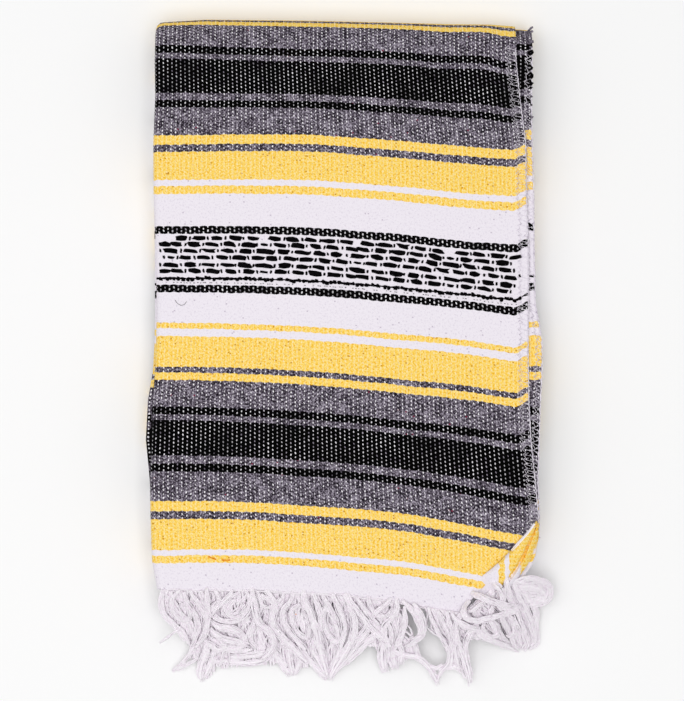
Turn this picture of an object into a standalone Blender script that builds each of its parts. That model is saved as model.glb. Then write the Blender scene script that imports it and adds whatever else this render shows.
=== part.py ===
# Folded falsa blanket, lying flat: metres, +Z up, -Y towards the fringe, origin under the middle
# of its box on the floor. The front ply wraps over the far (+Y) fold down to the floor; below it
# lie the second ply, whose selvedge shows on the right, and the hidden plies as one solid.

import math
from collections import namedtuple

import bmesh
import bpy
import numpy as np
from mathutils import Vector

MM = 0.001

# Cloth and stack
PLY = 2.0 * MM                 # thickness of the woven cloth
GAP = 0.4 * MM                 # air between neighbouring plies
STACK = 47.0 * MM              # height of the sixteen plies
RIGHT_DROP = 4.0 * MM          # the open right side lies lower than the folded left side
RIGHT_DROP_FROM = 20.0 * MM
RIGHT_DROP_TO = 160.0 * MM
HEM_DROP = 4.5 * MM            # and so does the near end, where plies stop
HEM_DROP_FROM = 100.0 * MM
HEM_DROP_TO = 230.0 * MM
SWELL = 0.6 * MM               # soft waves of the top, in radians a metre along and across
SWELL_WAVES = ((14.0, 3.0), (-6.0, 27.0))
SECOND_DEPTH = PLY + GAP       # how far the second ply lies below the top
CORE_DEPTH = 2 * (PLY + GAP)

# Folds
LEFT_FOLD_RADIUS = 5.75 * MM   # the front ply turns round four plies on the left
LEFT_FOLD_END = 205.0          # degrees: where the turned wall stops, just past the vertical
FAR_FOLD_REACH = 26.0 * MM     # how far the far fold bulges past where the top stays level
FAR_FOLD_END = -72.0           # degrees: where the wrap stops, just above the floor
FLAT_ROWS = 18
FAR_FOLD_ROWS = 7

# Fringe
LANE = 3.5 * MM                # from one lock to the next, across all three rows
ROOT_WIDTH = 2.6 * MM
TIP_WIDTH = 1.4 * MM
ROOT_HEIGHT = 2.0 * MM
TIP_HEIGHT = 1.3 * MM
STRIP_DEPTH = 3.0 * MM
STRIP_GAP = 0.6 * MM
TIP_CLEARANCE = 0.9 * MM       # from the floor to a lock's end
LOCK_STATIONS = 5

# Edges of the plies at stations down the blanket, in millimetres
Station = namedtuple("Station", "y front_left front_right second_right core_left")
STATIONS = (
    Station(288, -165.0, 140.5, 155.4, -165.5),
    Station(251, -166.2, 141.7, 155.6, -167.2),
    Station(221, -165.8, 144.8, 155.0, -167.4),
    Station(181, -167.4, 149.9, 155.6, -168.4),
    Station(141, -167.2, 150.5, 156.9, -168.8),
    Station(90, -165.3, 152.2, 157.3, -168.2),
    Station(44, -164.5, 152.2, 158.3, -168.0),
    Station(13, -164.9, 152.0, 164.0, -168.2),
    Station(-13, -166.0, 152.1, 164.0, -168.8),
    Station(-38, -167.9, 152.5, 162.5, -171.0),
    Station(-72, -168.9, 154.3, 161.5, -177.0),
    Station(-106, -170.3, 157.8, 160.3, -173.0),
    Station(-136, -170.0, 160.7, 161.9, -170.6),
    Station(-174, -168.9, 160.7, 160.0, -169.0),
    Station(-188, -166.6, 160.7, 160.0, -167.0),
    Station(-222, -160.0, 160.7, 160.0, -161.0),
)

# The crest of the far fold across the blanket, and the front ply's hem with its turned corner
Crest = namedtuple("Crest", "x y")
CRESTS = (
    Crest(-170, 285.0),
    Crest(-123, 288.0),
    Crest(-40, 287.2),
    Crest(0, 286.3),
    Crest(85, 284.2),
    Crest(120, 284.0),
    Crest(160, 281.0),
)
Hem = namedtuple("Hem", "x y")
FRONT_HEM = (
    Hem(-170, -199.0),
    Hem(-161, -199.3),
    Hem(-129, -200.2),
    Hem(-81, -199.5),
    Hem(-48, -201.9),
    Hem(-10, -203.2),
    Hem(35, -208.7),
    Hem(68, -215.5),
    Hem(97, -220.6),
    Hem(99.5, -201.0),
    Hem(111.4, -190.0),
    Hem(125.8, -178.1),
    Hem(138.8, -165.3),
    Hem(152.4, -150.0),
    Hem(160.7, -135.6),
)
CORE_HEM = (
    Hem(-176, -195.0),
    Hem(-81, -195.5),
    Hem(-10, -198.5),
    Hem(35, -203.0),
    Hem(80, -207.0),
    Hem(120, -206.0),
    Hem(176, -204.0),
)
CORNER_RADII = {"near_left": 9.0 * MM, "near_right": 43.0 * MM, "far": 7.0 * MM}
NEAR_RIGHT_Y = -160.0 * MM     # where the near right corner starts to turn
NEAR_LEFT_Y = -190.0 * MM
FAR_FOLD_START = 260.0 * MM    # where the far fold starts to turn down
UNDER_FOLD = LEFT_FOLD_RADIUS + PLY
FRONT_GROUP = 0.85             # share of the height over which the front ply's fold lies outside

# Where the plies' columns lie: angles round the left fold, then shares of the width past it;
# two of the front ply's lie either side of the turned corner's step
FOLD_ANGLES = (LEFT_FOLD_END, 180.0, 155.0, 125.0, 90.0)
FRONT_COLUMNS = (0.03, 0.09, 0.16, 0.23, 0.31, 0.39, 0.47, 0.55, 0.63, 0.70, 0.76, 0.802, 0.812,
                 0.86, 0.91, 0.955, 1.0)
SECOND_COLUMNS = (0.0, 0.14, 0.28, 0.42, 0.56, 0.68, 0.78, 0.86, 0.92, 0.965, 1.0)
SECOND_INSET = 9.0 * MM        # from the left fold's outside to the second ply

# The edge of the hidden plies, layer by layer: height as a share, and how far each side draws in
Layer = namedtuple("Layer", "share left right hem")
LAYERS = (
    Layer(0.000, 4.0, 6.0, 10.0),
    Layer(0.060, 1.2, 4.0, 4.5),
    Layer(0.135, 0.0, 3.6, 1.4),
    Layer(0.215, 1.2, 2.0, 0.3),
    Layer(0.270, 4.6, 4.4, 0.0),
    Layer(0.325, 1.4, 2.4, 0.3),
    Layer(0.410, 0.3, 2.0, 1.4),
    Layer(0.490, 1.6, 4.4, 4.5),
    Layer(0.550, 4.8, 5.4, 7.5),
    Layer(0.600, 1.8, 3.0, 3.4),
    Layer(0.690, 1.0, 2.4, 3.0),
    Layer(0.775, 2.2, 4.6, 3.4),
    Layer(0.830, 5.2, 6.0, 4.6),
    Layer(0.875, 4.2, 3.4, 1.2),
    Layer(0.960, 4.4, 3.4, 1.0),
    Layer(1.000, 6.5, 5.0, 2.2),
)
CORE_RINGS = (0.93, 0.72, 0.48, 0.24)   # rings of the core's top, as shares of its outline
SIDE_POINTS, HEM_POINTS, FAR_POINTS = 19, 13, 9

# The turned corner: its base line from the right side to the hem, and how wide it lies there
Corner = namedtuple("Corner", "x y width")
CORNER_LINE = (
    Corner(158.6, -141.0, 4.0),
    Corner(152.4, -150.0, 9.5),
    Corner(145.6, -158.0, 14.5),
    Corner(138.8, -165.3, 18.0),
    Corner(125.8, -178.1, 21.0),
    Corner(113.0, -189.0, 22.0),
    Corner(102.5, -198.5, 22.0),
)
# Its two rolls in section: distance as a share of the width, height over the top in millimetres
Roll = namedtuple("Roll", "share height")
CORNER_ROLLS = (
    Roll(-0.34, 2.4),
    Roll(-0.22, 4.6),
    Roll(0.00, 5.6),
    Roll(0.18, 4.4),
    Roll(0.33, 1.6),
    Roll(0.42, 0.8),
    Roll(0.54, 2.2),
    Roll(0.70, 2.8),
    Roll(0.88, 1.2),
    Roll(1.00, 0.5),
)
CORNER_OUT = Vector((0.694, -0.720))     # in plan, away from the blanket
CORNER_ROWS = 10
FULL_ROLL = 16.0 * MM                    # where it is narrower than this, its rolls lie flatter

# Where the locks end, against where they start along the hem
Lock = namedtuple("Lock", "start tip_x tip_y")
LOCK_TIPS = (
    Lock(0, -167, -250),
    Lock(8, -155, -275),
    Lock(18, -141, -253),
    Lock(25, -134, -266),
    Lock(32, -127, -285),
    Lock(40, -119, -284),
    Lock(55, -104, -271),
    Lock(80, -79, -271),
    Lock(95, -64, -271),
    Lock(110, -49, -279),
    Lock(120, -38, -272),
    Lock(138, -18, -283),
    Lock(148, -8, -277),
    Lock(160, 5, -264),
    Lock(175, 19, -254),
    Lock(183, 28, -276),
    Lock(193, 39, -274),
    Lock(203, 50, -264),
    Lock(213, 62, -270),
    Lock(224, 76, -288),
    Lock(234, 87, -274),
    Lock(244, 98, -288),
    Lock(256, 108, -248),
    Lock(268, 119, -248),
    Lock(282, 133, -254),
    Lock(298, 150, -259),
    Lock(306, 160, -254),
    Lock(312, 167, -243),
    Lock(320, 175.3, -212),
    Lock(327, 174, -199),
)
FRONT_HEM_START = -157.0 * MM
FRONT_HEM_STOP = 94.0 * MM
CORE_HEM_START = -157.0 * MM
CORNER_STOP = -17.0            # degrees: how far round the near right corner the fringe goes


def columns(rows, key, value):
    return [getattr(row, key) for row in rows], [getattr(row, value) for row in rows]


def edge(name, y):
    """The named edge's x at y, from the stations."""
    ys, xs = columns(STATIONS[::-1], "y", name)
    return float(np.interp(y / MM, ys, xs)) * MM


def line(rows, x):
    """y of a hem or crest line at x."""
    return float(np.interp(x / MM, *columns(rows, "x", "y"))) * MM


def ease(value, start, stop):
    share = min(max((value - start) / (stop - start), 0.0), 1.0)
    return share * share * (3.0 - 2.0 * share)


def top_height(x, y):
    """Height of the front ply's outer face."""
    height = STACK
    height -= RIGHT_DROP * ease(x, RIGHT_DROP_FROM, RIGHT_DROP_TO)
    height -= HEM_DROP * ease(-y, HEM_DROP_FROM, HEM_DROP_TO)
    for along, across in SWELL_WAVES:
        height -= SWELL * (1.0 - math.cos(along * y + across * x))
    return height


def far_centre(x):
    """y where the far fold starts to turn down."""
    return line(CRESTS, x) - FAR_FOLD_REACH


def on_stack(x, y, depth):
    """A point below the top at x, y."""
    return Vector((x, y, top_height(x, y) - depth))


def on_far_fold(x, degrees, depth):
    """A point round the far fold; 90 degrees is level with the top, 0 its crest."""
    half = top_height(x, far_centre(x)) / 2
    angle = math.radians(degrees)
    y = far_centre(x) + (FAR_FOLD_REACH - depth) * math.cos(angle)
    return Vector((x, y, half + (half - depth) * math.sin(angle)))


def new_object(name, solid, colour, roughness):
    """A mesh object from a bmesh, with a material of its own."""
    mesh = bpy.data.meshes.new(name)
    solid.to_mesh(mesh)
    solid.free()
    material = bpy.data.materials.new(name)
    material.use_nodes = True
    shader = material.node_tree.nodes["Principled BSDF"]
    shader.inputs["Base Color"].default_value = (*colour, 1.0)
    shader.inputs["Roughness"].default_value = roughness
    shader.inputs["Metallic"].default_value = 0.0
    mesh.materials.append(material)
    mesh.shade_smooth()
    mesh.set_sharp_from_angle(angle=math.radians(50))
    made = bpy.data.objects.new(name, mesh)
    bpy.context.scene.collection.objects.link(made)
    return made


def cloth_wall(name, across, along, point, colour):
    """A ply: a grid bent through point(column, row), thickened inwards to the cloth's wall."""
    sheet = bmesh.new()
    bmesh.ops.create_grid(sheet, x_segments=across, y_segments=along, size=0.5)
    for vertex in sheet.verts:
        column = round((vertex.co.x + 0.5) * across)
        row = round((vertex.co.y + 0.5) * along)
        vertex.co = point(column, row)
    ply = new_object(name, sheet, colour, 0.9)
    wall = ply.modifiers.new("wall", "SOLIDIFY")
    wall.thickness = PLY
    wall.offset = -1.0
    wall.use_even_offset = True
    return ply


def far_fold_angle(row):
    """Angle of a row past the flat ones."""
    return 90.0 + (FAR_FOLD_END - 90.0) * (row - FLAT_ROWS) / FAR_FOLD_ROWS


def ply_point(left_of, right_name, hem_of, share, row, depth, inset=0.0):
    """A point of a ply at a share of its width and a row from its hem over the far fold."""
    if row > FLAT_ROWS:
        y = far_centre(0.0)
        left = left_of(y)
        x = left + inset + share * (edge(right_name, y) - left - inset)
        return on_far_fold(x, far_fold_angle(row), depth)
    y = hem_of(0.0) + (far_centre(0.0) - hem_of(0.0)) * row / FLAT_ROWS
    for _ in range(3):
        left = left_of(y)
        x = left + inset + share * (edge(right_name, y) - left - inset)
        y = hem_of(x) + (far_centre(x) - hem_of(x)) * row / FLAT_ROWS
    return on_stack(x, y, depth)


def front_hem(x):
    return line(FRONT_HEM, x)


def second_hem(x):
    """The core's hem line, round the near right corner."""
    radius = CORNER_RADII["near_right"]
    centre_x = edge("second_right", NEAR_RIGHT_Y) - radius
    straight = line(CORE_HEM, x)
    if x <= centre_x:
        return straight
    beside = min(x - centre_x, radius)
    return straight + radius - math.sqrt(max(radius ** 2 - beside ** 2, 0.0))


def front_point(column, row):
    def left(y):
        return edge("front_left", y)

    if column >= len(FOLD_ANGLES):
        share = FRONT_COLUMNS[column - len(FOLD_ANGLES)]
        return ply_point(left, "front_right", front_hem, share, row, 0.0, LEFT_FOLD_RADIUS)
    angle = math.radians(FOLD_ANGLES[column])
    depth = LEFT_FOLD_RADIUS * (1.0 - math.sin(angle))
    inset = LEFT_FOLD_RADIUS * (1.0 + math.cos(angle))
    return ply_point(left, "front_right", front_hem, 0.0, row, depth, inset)


def second_point(column, row):
    def left(y):
        return edge("front_left", y)

    share = SECOND_COLUMNS[column]
    return ply_point(left, "second_right", second_hem, share, row, SECOND_DEPTH, SECOND_INSET)


def corner_point(column, row):
    """The turned corner: its rolls in section, along its base line."""
    place = (1.0 - row / (CORNER_ROWS - 1)) * (len(CORNER_LINE) - 1)
    stations = range(len(CORNER_LINE))
    x, y, width = (
        float(np.interp(place, stations, [getattr(station, key) for station in CORNER_LINE])) * MM
        for key in ("x", "y", "width")
    )
    roll = CORNER_ROLLS[column]
    plan = Vector((x, y)) + CORNER_OUT * (roll.share * width)
    full = min(width / FULL_ROLL, 1.0)
    flat = (PLY + GAP) * (1.0 - ease(roll.share, -0.05, 0.35))
    lift = max(flat, roll.height * MM * full + flat * (1.0 - full))
    return on_stack(plan.x, plan.y, -lift)


def core_height(x, y):
    return top_height(x, min(y, far_centre(x))) - CORE_DEPTH


def arc(centre, radius, start, stop, steps):
    """Points round a corner, ends left out."""
    for step in range(1, steps):
        angle = math.radians(start + (stop - start) * step / steps)
        yield Vector((centre[0] + radius * math.cos(angle), centre[1] + radius * math.sin(angle)))


def core_outline(layer):
    """The hidden plies' outline at a layer, anticlockwise in plan from the far left."""
    left_in, right_in, hem_in = layer.left * MM, layer.right * MM, layer.hem * MM
    near_left = CORNER_RADII["near_left"]
    near_right = CORNER_RADII["near_right"]
    far = CORNER_RADII["far"]

    def left(y):
        turned = ease(y, FAR_FOLD_START - 2 * far, FAR_FOLD_START)
        outside = "front_left" if layer.share > FRONT_GROUP else "core_left"
        plain = edge(outside, y) + left_in
        return plain * (1.0 - turned) + (edge("front_left", y) + UNDER_FOLD) * turned

    def right(y):
        return edge("second_right", y) - right_in

    def hem(x):
        return line(CORE_HEM, x) + hem_in

    def far_side(x):
        half = top_height(x, far_centre(x)) / 2
        height = layer.share * (2 * half - CORE_DEPTH)
        reach = 1.0 - ((height - half) / (half - CORE_DEPTH)) ** 2
        return far_centre(x) + (FAR_FOLD_REACH - CORE_DEPTH) * math.sqrt(max(reach, 0.0)) - GAP / 2

    left_x, right_x = left(NEAR_LEFT_Y), right(NEAR_RIGHT_Y)
    top_left, top_right = left(FAR_FOLD_START + far), right(FAR_FOLD_START)
    far_y = min(far_side(top_left), far_side(top_right))
    outline = []
    for y in np.linspace(far_y - far, hem(left_x) + near_left, SIDE_POINTS):
        outline.append(Vector((left(y), y)))
    centre = (left(hem(left_x) + near_left) + near_left, hem(left_x) + near_left)
    outline.extend(arc(centre, near_left, 180, 270, 3))
    for x in np.linspace(centre[0], right_x - near_right, HEM_POINTS):
        outline.append(Vector((x, hem(x))))
    centre = (right_x - near_right, hem(right_x - near_right) + near_right)
    outline.extend(arc(centre, near_right, 270, 360, 8))
    for y in np.linspace(centre[1], far_y - far, SIDE_POINTS - 3):
        outline.append(Vector((right(y), y)))
    outline.extend(arc((top_right - far, far_y - far), far, 0, 90, 3))
    for x in np.linspace(top_right - far, top_left + far, FAR_POINTS):
        outline.append(Vector((x, far_side(x))))
    outline.extend(arc((top_left + far, far_y - far), far, 90, 180, 3))
    return outline


def ring(solid, points):
    """A closed loop of edges through the points."""
    made = [solid.verts.new(point) for point in points]
    return [solid.edges.new((a, b)) for a, b in zip(made, made[1:] + made[:1])]


def folded_core():
    """Rings up the layered edge, then smaller rings over the top, bridged into one solid."""
    solid = bmesh.new()
    rings = []
    for layer in LAYERS:
        outline = core_outline(layer)
        rings.append([Vector((*p, layer.share * core_height(*p))) for p in outline])
    top = core_outline(LAYERS[-1])
    centre = sum(top, Vector((0.0, 0.0))) / len(top)
    for share in CORE_RINGS:
        inner = [centre + (p - centre) * share for p in top]
        rings.append([Vector((*p, core_height(*p))) for p in inner])
    loops = [ring(solid, points) for points in rings]
    for lower, upper in zip(loops, loops[1:]):
        bmesh.ops.bridge_loops(solid, edges=lower + upper)
    bmesh.ops.contextual_create(solid, geom=loops[0])
    bmesh.ops.contextual_create(solid, geom=loops[-1])
    bmesh.ops.recalc_face_normals(solid, faces=solid.faces)
    return new_object("folded_core", solid, (0.80, 0.77, 0.80), 0.95)


class Path:
    """A hem line in plan, read by its length, with the direction that leaves the cloth."""

    def __init__(self, points):
        self.points = points
        steps = [(b - a).length for a, b in zip(points, points[1:])]
        self.lengths = np.concatenate([[0.0], np.cumsum(steps)])

    def at(self, distance):
        x = float(np.interp(distance, self.lengths, [p.x for p in self.points]))
        y = float(np.interp(distance, self.lengths, [p.y for p in self.points]))
        return Vector((x, y))

    def out(self, distance):
        reach = 2.0 * MM
        run = self.at(distance + reach) - self.at(distance - reach)
        return Vector((run.y, -run.x)).normalized()


def front_path():
    xs = np.linspace(FRONT_HEM_START, FRONT_HEM_STOP, 40)
    return Path([Vector((x, front_hem(x) - STRIP_GAP)) for x in xs])


def core_path(hem_in):
    """Along the core's hem and on round its near right corner, at a layer drawn in by hem_in."""
    radius = CORNER_RADII["near_right"]
    stop_x = edge("second_right", NEAR_RIGHT_Y) - LAYERS[10].right * MM - radius
    points = []
    for x in np.linspace(CORE_HEM_START, stop_x, 40):
        points.append(Vector((x, line(CORE_HEM, x) + hem_in - STRIP_GAP)))
    centre = (stop_x, line(CORE_HEM, stop_x) + hem_in + radius)
    points.extend(arc(centre, radius + STRIP_GAP, 270, 360 + CORNER_STOP, 14))
    return Path(points)


def lock_tip(start):
    """Where a lock that starts this far along the hem ends, in plan."""
    x = np.interp(start / MM, *columns(LOCK_TIPS, "start", "tip_x"))
    y = np.interp(start / MM, *columns(LOCK_TIPS, "start", "tip_y"))
    return Vector((float(x), float(y))) * MM


def grow(solid, face, corners):
    """Extrudes a face and sets its corners; returns the new face and the four side faces."""
    before = list(face.verts)
    new = bmesh.ops.extrude_discrete_faces(solid, faces=[face])["faces"][0]
    for vertex, corner in zip(new.verts, corners):
        vertex.co = corner
    outer = next(
        f for f in before[1].link_faces if before[2] in f.verts and new.verts[1] in f.verts
    )
    return new, outer


def fringe_row(name, path, first_lane, strip_top):
    """One backing strip along its hem, with a lock grown out of every third lane."""
    starts = []
    start = (first_lane + 0.5) * LANE
    while start < path.lengths[-1] - LANE / 2:
        starts.append(start)
        start += 3 * LANE
    stations = [0.0]
    for start in starts:
        stations += [start - ROOT_WIDTH / 2, start + ROOT_WIDTH / 2]
    stations.append(float(path.lengths[-1]))

    def section(distance):
        inner = path.at(distance)
        outer = inner + path.out(distance) * STRIP_DEPTH
        high = strip_top(inner)
        low = high - ROOT_HEIGHT
        return [
            Vector((*inner, high)),
            Vector((*outer, high)),
            Vector((*outer, low)),
            Vector((*inner, low)),
        ]

    solid = bmesh.new()
    face = solid.faces.new([solid.verts.new(corner) for corner in section(stations[0])])
    roots = []
    for index, station in enumerate(stations[1:]):
        face, outer = grow(solid, face, section(station))
        if index % 2 == 1:
            roots.append(outer)
    for start, root in zip(starts, roots):
        grow_lock(solid, root, path, start)
    bmesh.ops.holes_fill(solid, edges=solid.edges, sides=4)
    bmesh.ops.recalc_face_normals(solid, faces=solid.faces)
    return new_object(name, solid, (0.84, 0.80, 0.84), 0.95)


def grow_lock(solid, root, path, start):
    """A lock from its root face on the strip, out, down and on to its tip just above the floor."""
    centre = root.calc_center_median()
    out = path.out(start)
    tip = lock_tip(start)
    order = [vertex.co - centre for vertex in root.verts]
    side = Vector((-out.y, out.x, 0.0))
    face = root
    low = TIP_CLEARANCE + TIP_HEIGHT / 2
    for step in range(1, LOCK_STATIONS + 1):
        share = step / LOCK_STATIONS
        reach = (tip - centre.xy).length
        early = centre.xy + out * reach * share
        late = centre.xy + (tip - centre.xy) * share
        plan = early.lerp(late, ease(share, -0.1, 0.9))
        height = low + (centre.z - low) * (1.0 - share) ** 1.5
        width = ROOT_WIDTH + (TIP_WIDTH - ROOT_WIDTH) * share
        tall = ROOT_HEIGHT + (TIP_HEIGHT - ROOT_HEIGHT) * share
        corners = []
        for offset in order:
            sideways = math.copysign(width / 2, offset.dot(side))
            upwards = math.copysign(tall / 2, offset.z)
            corners.append(Vector((*plan, height)) + side * sideways + Vector((0, 0, upwards)))
        face, _ = grow(solid, face, corners)


def main():
    for old in list(bpy.data.objects):
        bpy.data.objects.remove(old)
    columns_across = len(FOLD_ANGLES) + len(FRONT_COLUMNS) - 1
    rows = FLAT_ROWS + FAR_FOLD_ROWS
    cloth_wall("front_ply", columns_across, rows, front_point, (0.90, 0.62, 0.12))
    cloth_wall("second_ply", len(SECOND_COLUMNS) - 1, rows, second_point, (0.15, 0.13, 0.16))
    cloth_wall("turned_corner", len(CORNER_ROLLS) - 1, CORNER_ROWS - 1, corner_point,
               (0.95, 0.75, 0.35))
    folded_core()
    front = front_path()
    fringe_row("fringe_front", front, 0, lambda p: top_height(*p) - 0.1 * MM)
    layers = {layer.share: layer for layer in LAYERS}
    middle, lower = layers[0.960], layers[0.690]
    fringe_row("fringe_middle", core_path(middle.hem * MM), 1,
               lambda p: middle.share * core_height(*p) - 0.4 * MM)
    fringe_row("fringe_lower", core_path(lower.hem * MM), 2,
               lambda p: lower.share * core_height(*p) + ROOT_HEIGHT / 2)


main()
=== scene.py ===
import math
import random

import bmesh
import bpy
import numpy as np
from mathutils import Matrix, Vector, noise


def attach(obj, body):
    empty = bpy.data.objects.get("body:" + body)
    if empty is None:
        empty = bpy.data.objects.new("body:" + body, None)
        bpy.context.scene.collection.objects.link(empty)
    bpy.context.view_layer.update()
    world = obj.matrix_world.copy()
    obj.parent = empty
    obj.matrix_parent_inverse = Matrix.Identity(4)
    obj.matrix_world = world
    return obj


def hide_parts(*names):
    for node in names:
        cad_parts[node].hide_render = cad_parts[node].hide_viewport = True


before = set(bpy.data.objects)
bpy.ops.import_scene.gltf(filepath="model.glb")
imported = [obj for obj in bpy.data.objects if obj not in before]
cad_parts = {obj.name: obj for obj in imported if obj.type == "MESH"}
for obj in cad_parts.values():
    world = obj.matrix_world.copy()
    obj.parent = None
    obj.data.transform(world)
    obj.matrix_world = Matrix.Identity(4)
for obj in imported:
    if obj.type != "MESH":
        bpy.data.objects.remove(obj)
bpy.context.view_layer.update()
mm = 0.001
random.seed(11)


def srgb(hexValue):
    # sRGB hex to the linear colour that sockets and ramps take
    channels = [int(hexValue[i:i + 2], 16) / 255 for i in (1, 3, 5)]
    return [c / 12.92 if c <= 0.04045 else ((c + 0.055) / 1.055) ** 2.4 for c in channels] + [1.0]


def ease(value, start, stop):
    share = np.clip((value - start) / (stop - start), 0.0, 1.0)
    return share * share * (3.0 - 2.0 * share)


def smoothLine(xs, ys, value):
    # one smooth curve through a short table
    xs, ys = np.asarray(xs, float), np.asarray(ys, float)
    slopes = np.gradient(ys, xs)
    low = np.clip(np.searchsorted(xs, value) - 1, 0, len(xs) - 2)
    run = xs[low + 1] - xs[low]
    t = np.clip((value - xs[low]) / run, 0.0, 1.0)
    rise = ys[low + 1] - ys[low]
    bend = slopes[low] * run - rise
    turn = rise - slopes[low + 1] * run
    return ys[low] + t * rise + t * (1.0 - t) * ((1.0 - t) * bend + t * turn)


# The folded stack: the same form as the solids, +X right and +Y away from the fringe
stack = {
    "height": 47.0 * mm,
    "ply": 2.0 * mm,
    "gap": 0.4 * mm,            # the air between two plies
    "rightDrop": 4.0 * mm,      # the top is lower on the right, where fewer folds lie
    "rightDropFrom": 20.0 * mm,
    "rightDropTo": 160.0 * mm,
    "hemDrop": 4.5 * mm,        # and towards the hem
    "hemDropFrom": 100.0 * mm,
    "hemDropTo": 230.0 * mm,
    "swell": 0.6 * mm,          # slow waves over the top
    "swellWaves": ((14.0, 3.0), (-6.0, 27.0)),
    "leftRadius": 5.75 * mm,
    "leftEnd": 205.0,           # degrees at which the left fold goes out of sight
    "farReach": 26.0 * mm,      # half the far fold's depth, seen from above
    "farEnd": -72.0,            # degrees at which it reaches the floor
}
secondDepth = stack["ply"] + stack["gap"]
coreDepth = 2 * secondDepth

# Edges of the plies down the blanket, in millimetres
edges = {
    "y": (-222, -188, -174, -136, -106, -72, -38, -13, 13, 44, 90, 141, 181, 221, 251, 288),
    "frontLeft": (-160, -166.6, -168.9, -170, -170.3, -168.9, -167.9, -166, -164.9, -164.5,
                  -165.3, -167.2, -167.4, -165.8, -166.2, -165),
    "frontRight": (160.7, 160.7, 160.7, 160.7, 157.8, 154.3, 152.5, 152.1, 152, 152.2,
                   152.2, 150.5, 149.9, 144.8, 141.7, 140.5),
    "secondRight": (160, 160, 160, 161.9, 160.3, 161.5, 162.5, 164, 164, 158.3,
                    157.3, 156.9, 155.6, 155, 155.6, 155.4),
    "coreLeft": (-161, -167, -169, -170.6, -172.6, -175.8, -174.0, -169.6, -168.2, -168,
                 -168.2, -168.8, -168.4, -167.4, -167.2, -165.5),
}
crest = {
    "x": (-170, -123, -40, 0, 85, 120, 160),
    "y": (285, 288, 287.2, 286.3, 284.2, 284, 281),
}
wovenHem = {
    "x": (-170, -161, -129, -81, -48, -10, 35, 68, 97, 118, 165),
    "y": (-199, -199.3, -200.2, -199.5, -201.9, -203.2, -208.7, -215.5, -220.6, -223, -225),
}
coreHem = {
    "x": (-176, -81, -10, 35, 80, 120, 176),
    "y": (-195, -195.5, -198.5, -203, -207, -206, -204),
}
cornerRadii = {"nearLeft": 9.0 * mm, "nearRight": 49.0 * mm, "far": 7.0 * mm}
nearRightY = -160.0 * mm
nearLeftY = -190.0 * mm


def edgeAt(name, y):
    return np.interp(np.asarray(y) / mm, edges["y"], edges[name]) * mm


def lineAt(table, x):
    return np.interp(np.asarray(x) / mm, table["x"], table["y"]) * mm


def topHeight(x, y):
    height = stack["height"]
    height = height - stack["rightDrop"] * ease(x, stack["rightDropFrom"], stack["rightDropTo"])
    height = height - stack["hemDrop"] * ease(-y, stack["hemDropFrom"], stack["hemDropTo"])
    for along, across in stack["swellWaves"]:
        height = height - stack["swell"] * (1.0 - np.cos(along * y + across * x))
    return height


def farCentre(x):
    return lineAt(crest, x) - stack["farReach"]


def onFarFold(x, degrees, depth):
    half = topHeight(x, farCentre(x)) / 2
    angle = np.radians(degrees)
    y = farCentre(x) + (stack["farReach"] - depth) * np.cos(angle)
    return y, half + (half - depth) * np.sin(angle)


def plySurface(x, y, depth):
    # the top of the ply at this depth, also where it bends over the far fold
    half = topHeight(x, farCentre(x)) / 2
    bent = np.clip((y - farCentre(x)) / (stack["farReach"] - depth), 0.0, 0.97)
    onFold = half + (half - depth) * np.sqrt(1.0 - bent ** 2)
    return np.where(y > farCentre(x), onFold, topHeight(x, y) - depth)


# The weave: a falsa repeat counted in picks, white warp ends standing between weft floats
weave = {
    "warp": 3.8 * mm,           # from one pair of warp ends to the next
    "repeatPicks": 192,
    "repeat": 317.2 * mm,
    "over": 0.30 * mm,          # how far a float stands over the cloth's middle
    "under": 0.14 * mm,
    "foldStretch": 1.08,
    "hemPlace": 341.0 * mm,     # past this the last stripe, the white of the hem, runs on
    "middle": 134.4 * mm,       # the place in the repeat at the middle of the cloth
    "lineSamples": 520,         # points that a warp line is worked out at, on the flat part
    "foldSamples": 140,         # and over the far fold
}
weave["pick"] = weave["repeat"] / weave["repeatPicks"]

# One repeat from the start of the wide white stripe: yarn and width in millimetres
falsaRepeat = (
    ("white", 27.5), ("blackChain", 6.2), ("white", 38.8), ("blackThread", 1.6), ("white", 4.4),
    ("blackChain", 6.8), ("white", 26.2), ("yellow", 6.0), ("white", 5.9), ("yellow", 25.4),
    ("grey", 6.1), ("yellow", 6.6), ("grey", 24.3), ("black", 5.5), ("grey", 5.5),
    ("black", 28.9), ("grey", 6.4), ("black", 7.0), ("grey", 25.4), ("yellow", 6.9),
    ("grey", 6.2), ("yellow", 27.2), ("white", 5.9), ("yellow", 6.4),
)

# Where the middle of the cloth is in the repeat, down the blanket; the far end is beaten closer
patternDown = {
    "x": (-240, 134.4, 147.5, 172.6, 185.2, 208.8, 221.0, 248.6, 262.5, 266.0),
    "y": (374.4, 0, -12.4, -39.6, -52.7, -78.0, -91.5, -120.4, -135.3, -139.1),
}
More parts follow.
